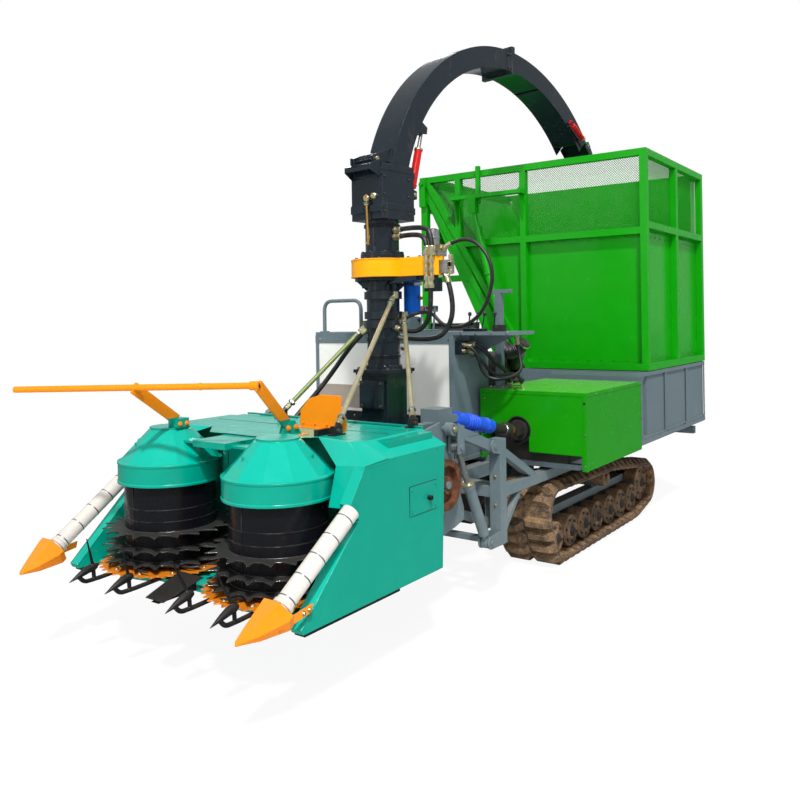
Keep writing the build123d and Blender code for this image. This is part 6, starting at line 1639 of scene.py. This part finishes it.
class HARVESTER_OT_hoses(bpy.types.Operator):
    """Hydraulic hoses at the tower and the console, with their swaged ends"""

    bl_idname = "harvester.hoses"
    bl_label = "Hoses"

    def execute(self, context):
        thin = context.scene.harvester.hose_radius
        thick = thin * 1.35
        routes = (
            ("header", "hose_motor_top", thick, (
                (0.402, -0.817, 1.943), (0.404, -0.820, 2.05), (0.330, -0.800, 2.105), (0.118, -0.765, 2.098))),
            ("header", "hose_motor_upper", thick, (
                (0.372, -0.820, 1.943), (0.374, -0.828, 2.02), (0.290, -0.800, 2.065), (0.115, -0.765, 2.058))),
            ("header", "hose_loop", thin, (
                (0.446, -0.753, 1.975), (0.580, -0.730, 2.06), (0.755, -0.715, 1.86), (0.660, -0.705, 1.58),
                (0.420, -0.700, 1.50), (0.270, -0.690, 1.66), (0.104, -0.722, 1.560))),
            ("header", "hose_feed", thick, (
                (0.387, -0.818, 1.803), (0.398, -0.820, 1.63), (0.320, -0.790, 1.52), (0.200, -0.765, 1.50),
                (0.092, -0.760, 1.530))),
            ("header", "hose_return", thick, (
                (0.452, -0.751, 1.818), (0.505, -0.745, 1.66), (0.440, -0.735, 1.49), (0.290, -0.725, 1.45),
                (0.098, -0.722, 1.470))),
            ("header", "hose_frame", thick, (
                (-0.070, -0.815, 1.520), (-0.130, -0.860, 1.46), (-0.330, -0.900, 1.20), (-0.420, -1.080, 1.00),
                (-0.400, -1.230, 0.905))),
            ("chassis", "hose_valve_front", thin, (
                (0.288, -0.292, 1.410), (0.360, -0.290, 1.40), (0.380, -0.220, 1.18), (0.600, -0.130, 1.22),
                (0.560, -0.100, 1.36), (0.545, -0.100, 1.450))),
            ("chassis", "hose_valve_middle", thin, (
                (0.288, -0.248, 1.372), (0.360, -0.245, 1.34), (0.400, -0.140, 1.20), (0.520, -0.010, 1.24),
                (0.500, 0.060, 1.121))),
            ("chassis", "hose_valve_rear", thick, (
                (0.288, -0.248, 1.410), (0.350, -0.245, 1.42), (0.400, -0.110, 1.29), (0.400, 0.060, 1.22),
                (0.380, 0.120, 1.121))),
        )
        for body in ("header", "chassis"):
            ends = Piece("hose_ends_" + body, "zinc")
            for owner, name, radius, route in routes:
                if owner == body:
                    hose(name, route, radius, body)
                    crimps(ends, route, radius)
            ends.done(body, "zinc")
        return {"FINISHED"}


class HARVESTER_OT_stage(bpy.types.Operator):
    """Camera, lamps, white surroundings and the floor that takes the shadow"""

    bl_idname = "harvester.stage"
    bl_label = "Stage"

    def execute(self, context):
        look = context.scene.harvester
        scene = context.scene
        camera_data = bpy.data.cameras.new("camera")
        camera_data.lens = 35.58
        camera_data.sensor_width = 36.0
        camera_data.shift_x = -0.01135
        camera_data.shift_y = -0.1023
        camera = bpy.data.objects.new("camera", camera_data)
        scene.collection.objects.link(camera)
        yaw, roll = radians(35.504), radians(-0.879)
        forward = Vector((-sin(yaw), cos(yaw), 0))
        right = Vector((cos(yaw), sin(yaw), 0)) * cos(roll) + UP * sin(roll)
        up = right.cross(forward)
        camera.matrix_world = Matrix.Translation((2.855, -4.486, 1.582)) @ Matrix(
            (right, up, -forward)).transposed().to_4x4()
        scene.camera = camera

        for name, kind, strength, size, place, target in (
            ("key", "SUN", look.key_strength, 0.06, (3.0, -3.2, 7.0), (0, 0, 0.8)),
            ("fill", "SUN", look.fill_strength, 0.5, (-2.0, -6.0, 3.0), (0, 0, 1)),
            ("glint", "AREA", 170.0, 2.4, (3.5, -5.0, 5.0), (0, -0.8, 1.6)),
            ("back", "AREA", 120.0, 3.0, (-4.0, 3.0, 4.5), (0, 0, 2)),
        ):
            data = bpy.data.lights.new(name, kind)
            data.energy = strength
            if kind == "SUN":
                data.angle = size
            else:
                data.size = size
            lamp = bpy.data.objects.new(name, data)
            lamp.location = place
            lamp.rotation_euler = (Vector(place) - Vector(target)).to_track_quat("Z", "Y").to_euler()
            scene.collection.objects.link(lamp)

        world = bpy.data.worlds.new("surroundings")
        scene.world = world
        world.use_nodes = True
        tree = Nodes(world.node_tree)
        world.node_tree.nodes.clear()
        # white as seen, a little of it in gloss, and plain light elsewhere
        path = tree.add("ShaderNodeLightPath")
        camera_ray, glossy_ray, through_ray = (Value(tree, path.outputs["Is %s Ray" % kind])
                                               for kind in ("Camera", "Glossy", "Transmission"))
        seen = tree.math("MAXIMUM", tree.math("MAXIMUM", camera_ray, glossy_ray * 0.08), through_ray)
        light = tree.out("ShaderNodeBackground", {"Color": (0.93, 0.97, 1.0, 1), "Strength": look.sky_strength})
        white = tree.out("ShaderNodeBackground", {"Color": (1, 1, 1, 1), "Strength": 1.0})
        both = tree.add("ShaderNodeMixShader", {0: seen})
        tree.tree.links.new(light.socket, both.inputs[1])
        tree.tree.links.new(white.socket, both.inputs[2])
        tree.add("ShaderNodeOutputWorld", {"Surface": Value(tree, both.outputs[0])})

        material, tree = new_material("floor")
        path = tree.add("ShaderNodeLightPath")
        # painted reflection: glossy rays see the floor dark grey, so shiny faces mirror a dark ground, while
        # the floor as seen stays pale
        tone = tree.mix(Value(tree, path.outputs["Is Glossy Ray"]), (0.92, 0.92, 0.92), (0.16, 0.17, 0.17))
        matt = tree.out("ShaderNodeBsdfDiffuse", {"Color": tone})
        glow = tree.out("ShaderNodeEmission", {"Color": (1, 1, 1, 1), "Strength": 1.0})
        camera_ray = Value(tree, path.outputs["Is Camera Ray"])
        lifted = tree.add("ShaderNodeMixShader", {0: camera_ray * look.floor_glow})
        tree.tree.links.new(matt.socket, lifted.inputs[1])
        tree.tree.links.new(glow.socket, lifted.inputs[2])
        tree.add("ShaderNodeOutputMaterial", {"Surface": Value(tree, lifted.outputs[0])})
        floor_data = bpy.data.meshes.new("floor")
        reach, ground = 60.0, -0.001
        corners = [(x * reach, y * reach, ground) for x, y in ((-1, -1), (1, -1), (1, 1), (-1, 1))]
        floor_data.from_pydata(corners, [], [(0, 1, 2, 3)])
        floor_data.materials.append(material)
        floor = bpy.data.objects.new("floor", floor_data)
        scene.collection.objects.link(floor)
        scene.view_settings.view_transform = "Standard"
        return {"FINISHED"}


# ---------------------------------------------------------------- settings, panel and start
def paint(name, red, green, blue):
    """A colour setting, its default as paint charts give it."""
    return bpy.props.FloatVectorProperty(name=name, description=name + " of the machine",
                                         subtype="COLOR", min=0.0,
                                         max=1.0, default=display(red, green, blue))


def measure(name, words, default):
    """A setting for a length."""
    return bpy.props.FloatProperty(name=name, description=words, default=default, unit="LENGTH", min=0.0)


def level(name, words, default):
    """A setting for a strength or a share."""
    return bpy.props.FloatProperty(name=name, description=words, default=default, min=0.0)


class HarvesterLook(bpy.types.PropertyGroup):
    """Colours and sizes of what is added over the frame"""

    teal: paint("Header enamel", 0, 148, 126)
    orange: paint("Bar and point enamel", 246, 138, 5)
    bin_green: paint("Bin enamel", 14, 154, 10)
    cover_green: paint("Engine cover enamel", 22, 142, 6)
    frame_grey: paint("Frame enamel", 100, 116, 122)
    slate: paint("Spout enamel", 24, 33, 40)
    yellow: paint("Slew drive enamel", 250, 166, 4)
    red: paint("Cylinder enamel", 196, 28, 28)
    mud: paint("Dried mud", 160, 126, 88)
    lug_pitch: measure("Lug pitch", "Distance between lugs of one row along the belt", 0.092)
    lug_height: measure("Lug height", "Height of the lugs over the belt", 0.035)
    wire_pitch: measure("Wire pitch", "Level spacing of the slanting wires of the bin", 0.018)
    wire_radius: measure("Wire radius", "Radius of the wires of the bin", 0.0016)
    rail_radius: measure("Rail radius", "Radius of the guard rail tube", 0.013)
    hose_radius: measure("Hose radius", "Radius of the thin hydraulic hoses", 0.0105)
    cap_sides: bpy.props.IntProperty(name="Cap sides", default=12, min=6,
                                     description="Flats folded round each drum cap")
    key_strength: level("Key light", "Strength of the main lamp", 3.0)
    fill_strength: level("Fill light", "Strength of the soft front lamp", 0.24)
    sky_strength: level("Sky light", "Strength of the plain surroundings", 0.36)
    floor_glow: level("Floor glow", "Share of plain white in the floor as seen", 0.92)


PIECES = (
    HARVESTER_OT_finishes, HARVESTER_OT_tracks, HARVESTER_OT_wheel_hubs, HARVESTER_OT_engine_cover,
    HARVESTER_OT_lower_box, HARVESTER_OT_bin_mesh, HARVESTER_OT_bin_trim, HARVESTER_OT_seat,
    HARVESTER_OT_guard_rail, HARVESTER_OT_console, HARVESTER_OT_air_intake, HARVESTER_OT_header_trim,
    HARVESTER_OT_drum_caps, HARVESTER_OT_dividers, HARVESTER_OT_crop_guides, HARVESTER_OT_header_bars,
    HARVESTER_OT_tower, HARVESTER_OT_head, HARVESTER_OT_spout, HARVESTER_OT_drive_shaft, HARVESTER_OT_linkage,
    HARVESTER_OT_frame_bolts, HARVESTER_OT_hoses, HARVESTER_OT_stage,
)


class HARVESTER_PT_panel(bpy.types.Panel):
    """Sidebar panel with the settings and one button for each group of pieces"""

    bl_idname = "HARVESTER_PT_panel"
    bl_label = "Forage harvester"
    bl_space_type = "VIEW_3D"
    bl_region_type = "UI"
    bl_category = "Harvester"

    def draw(self, context):
        look = context.scene.harvester
        for name in HarvesterLook.__annotations__:
            self.layout.prop(look, name)
        for piece in PIECES:
            self.layout.operator(piece.bl_idname)


CLASSES = (HarvesterLook, *PIECES, HARVESTER_PT_panel)


def register():
    for each in CLASSES:
        bpy.utils.register_class(each)
    bpy.types.Scene.harvester = bpy.props.PointerProperty(type=HarvesterLook)


def unregister():
    del bpy.types.Scene.harvester
    for each in reversed(CLASSES):
        bpy.utils.unregister_class(each)


def main():
    register()
    for piece in PIECES:
        name = piece.bl_idname.split(".")[1]
        if getattr(bpy.ops.harvester, name)() != {"FINISHED"}:
            raise RuntimeError(name + " did not finish")
    bpy.context.view_layer.update()


if __name__ == "__main__":
    main()
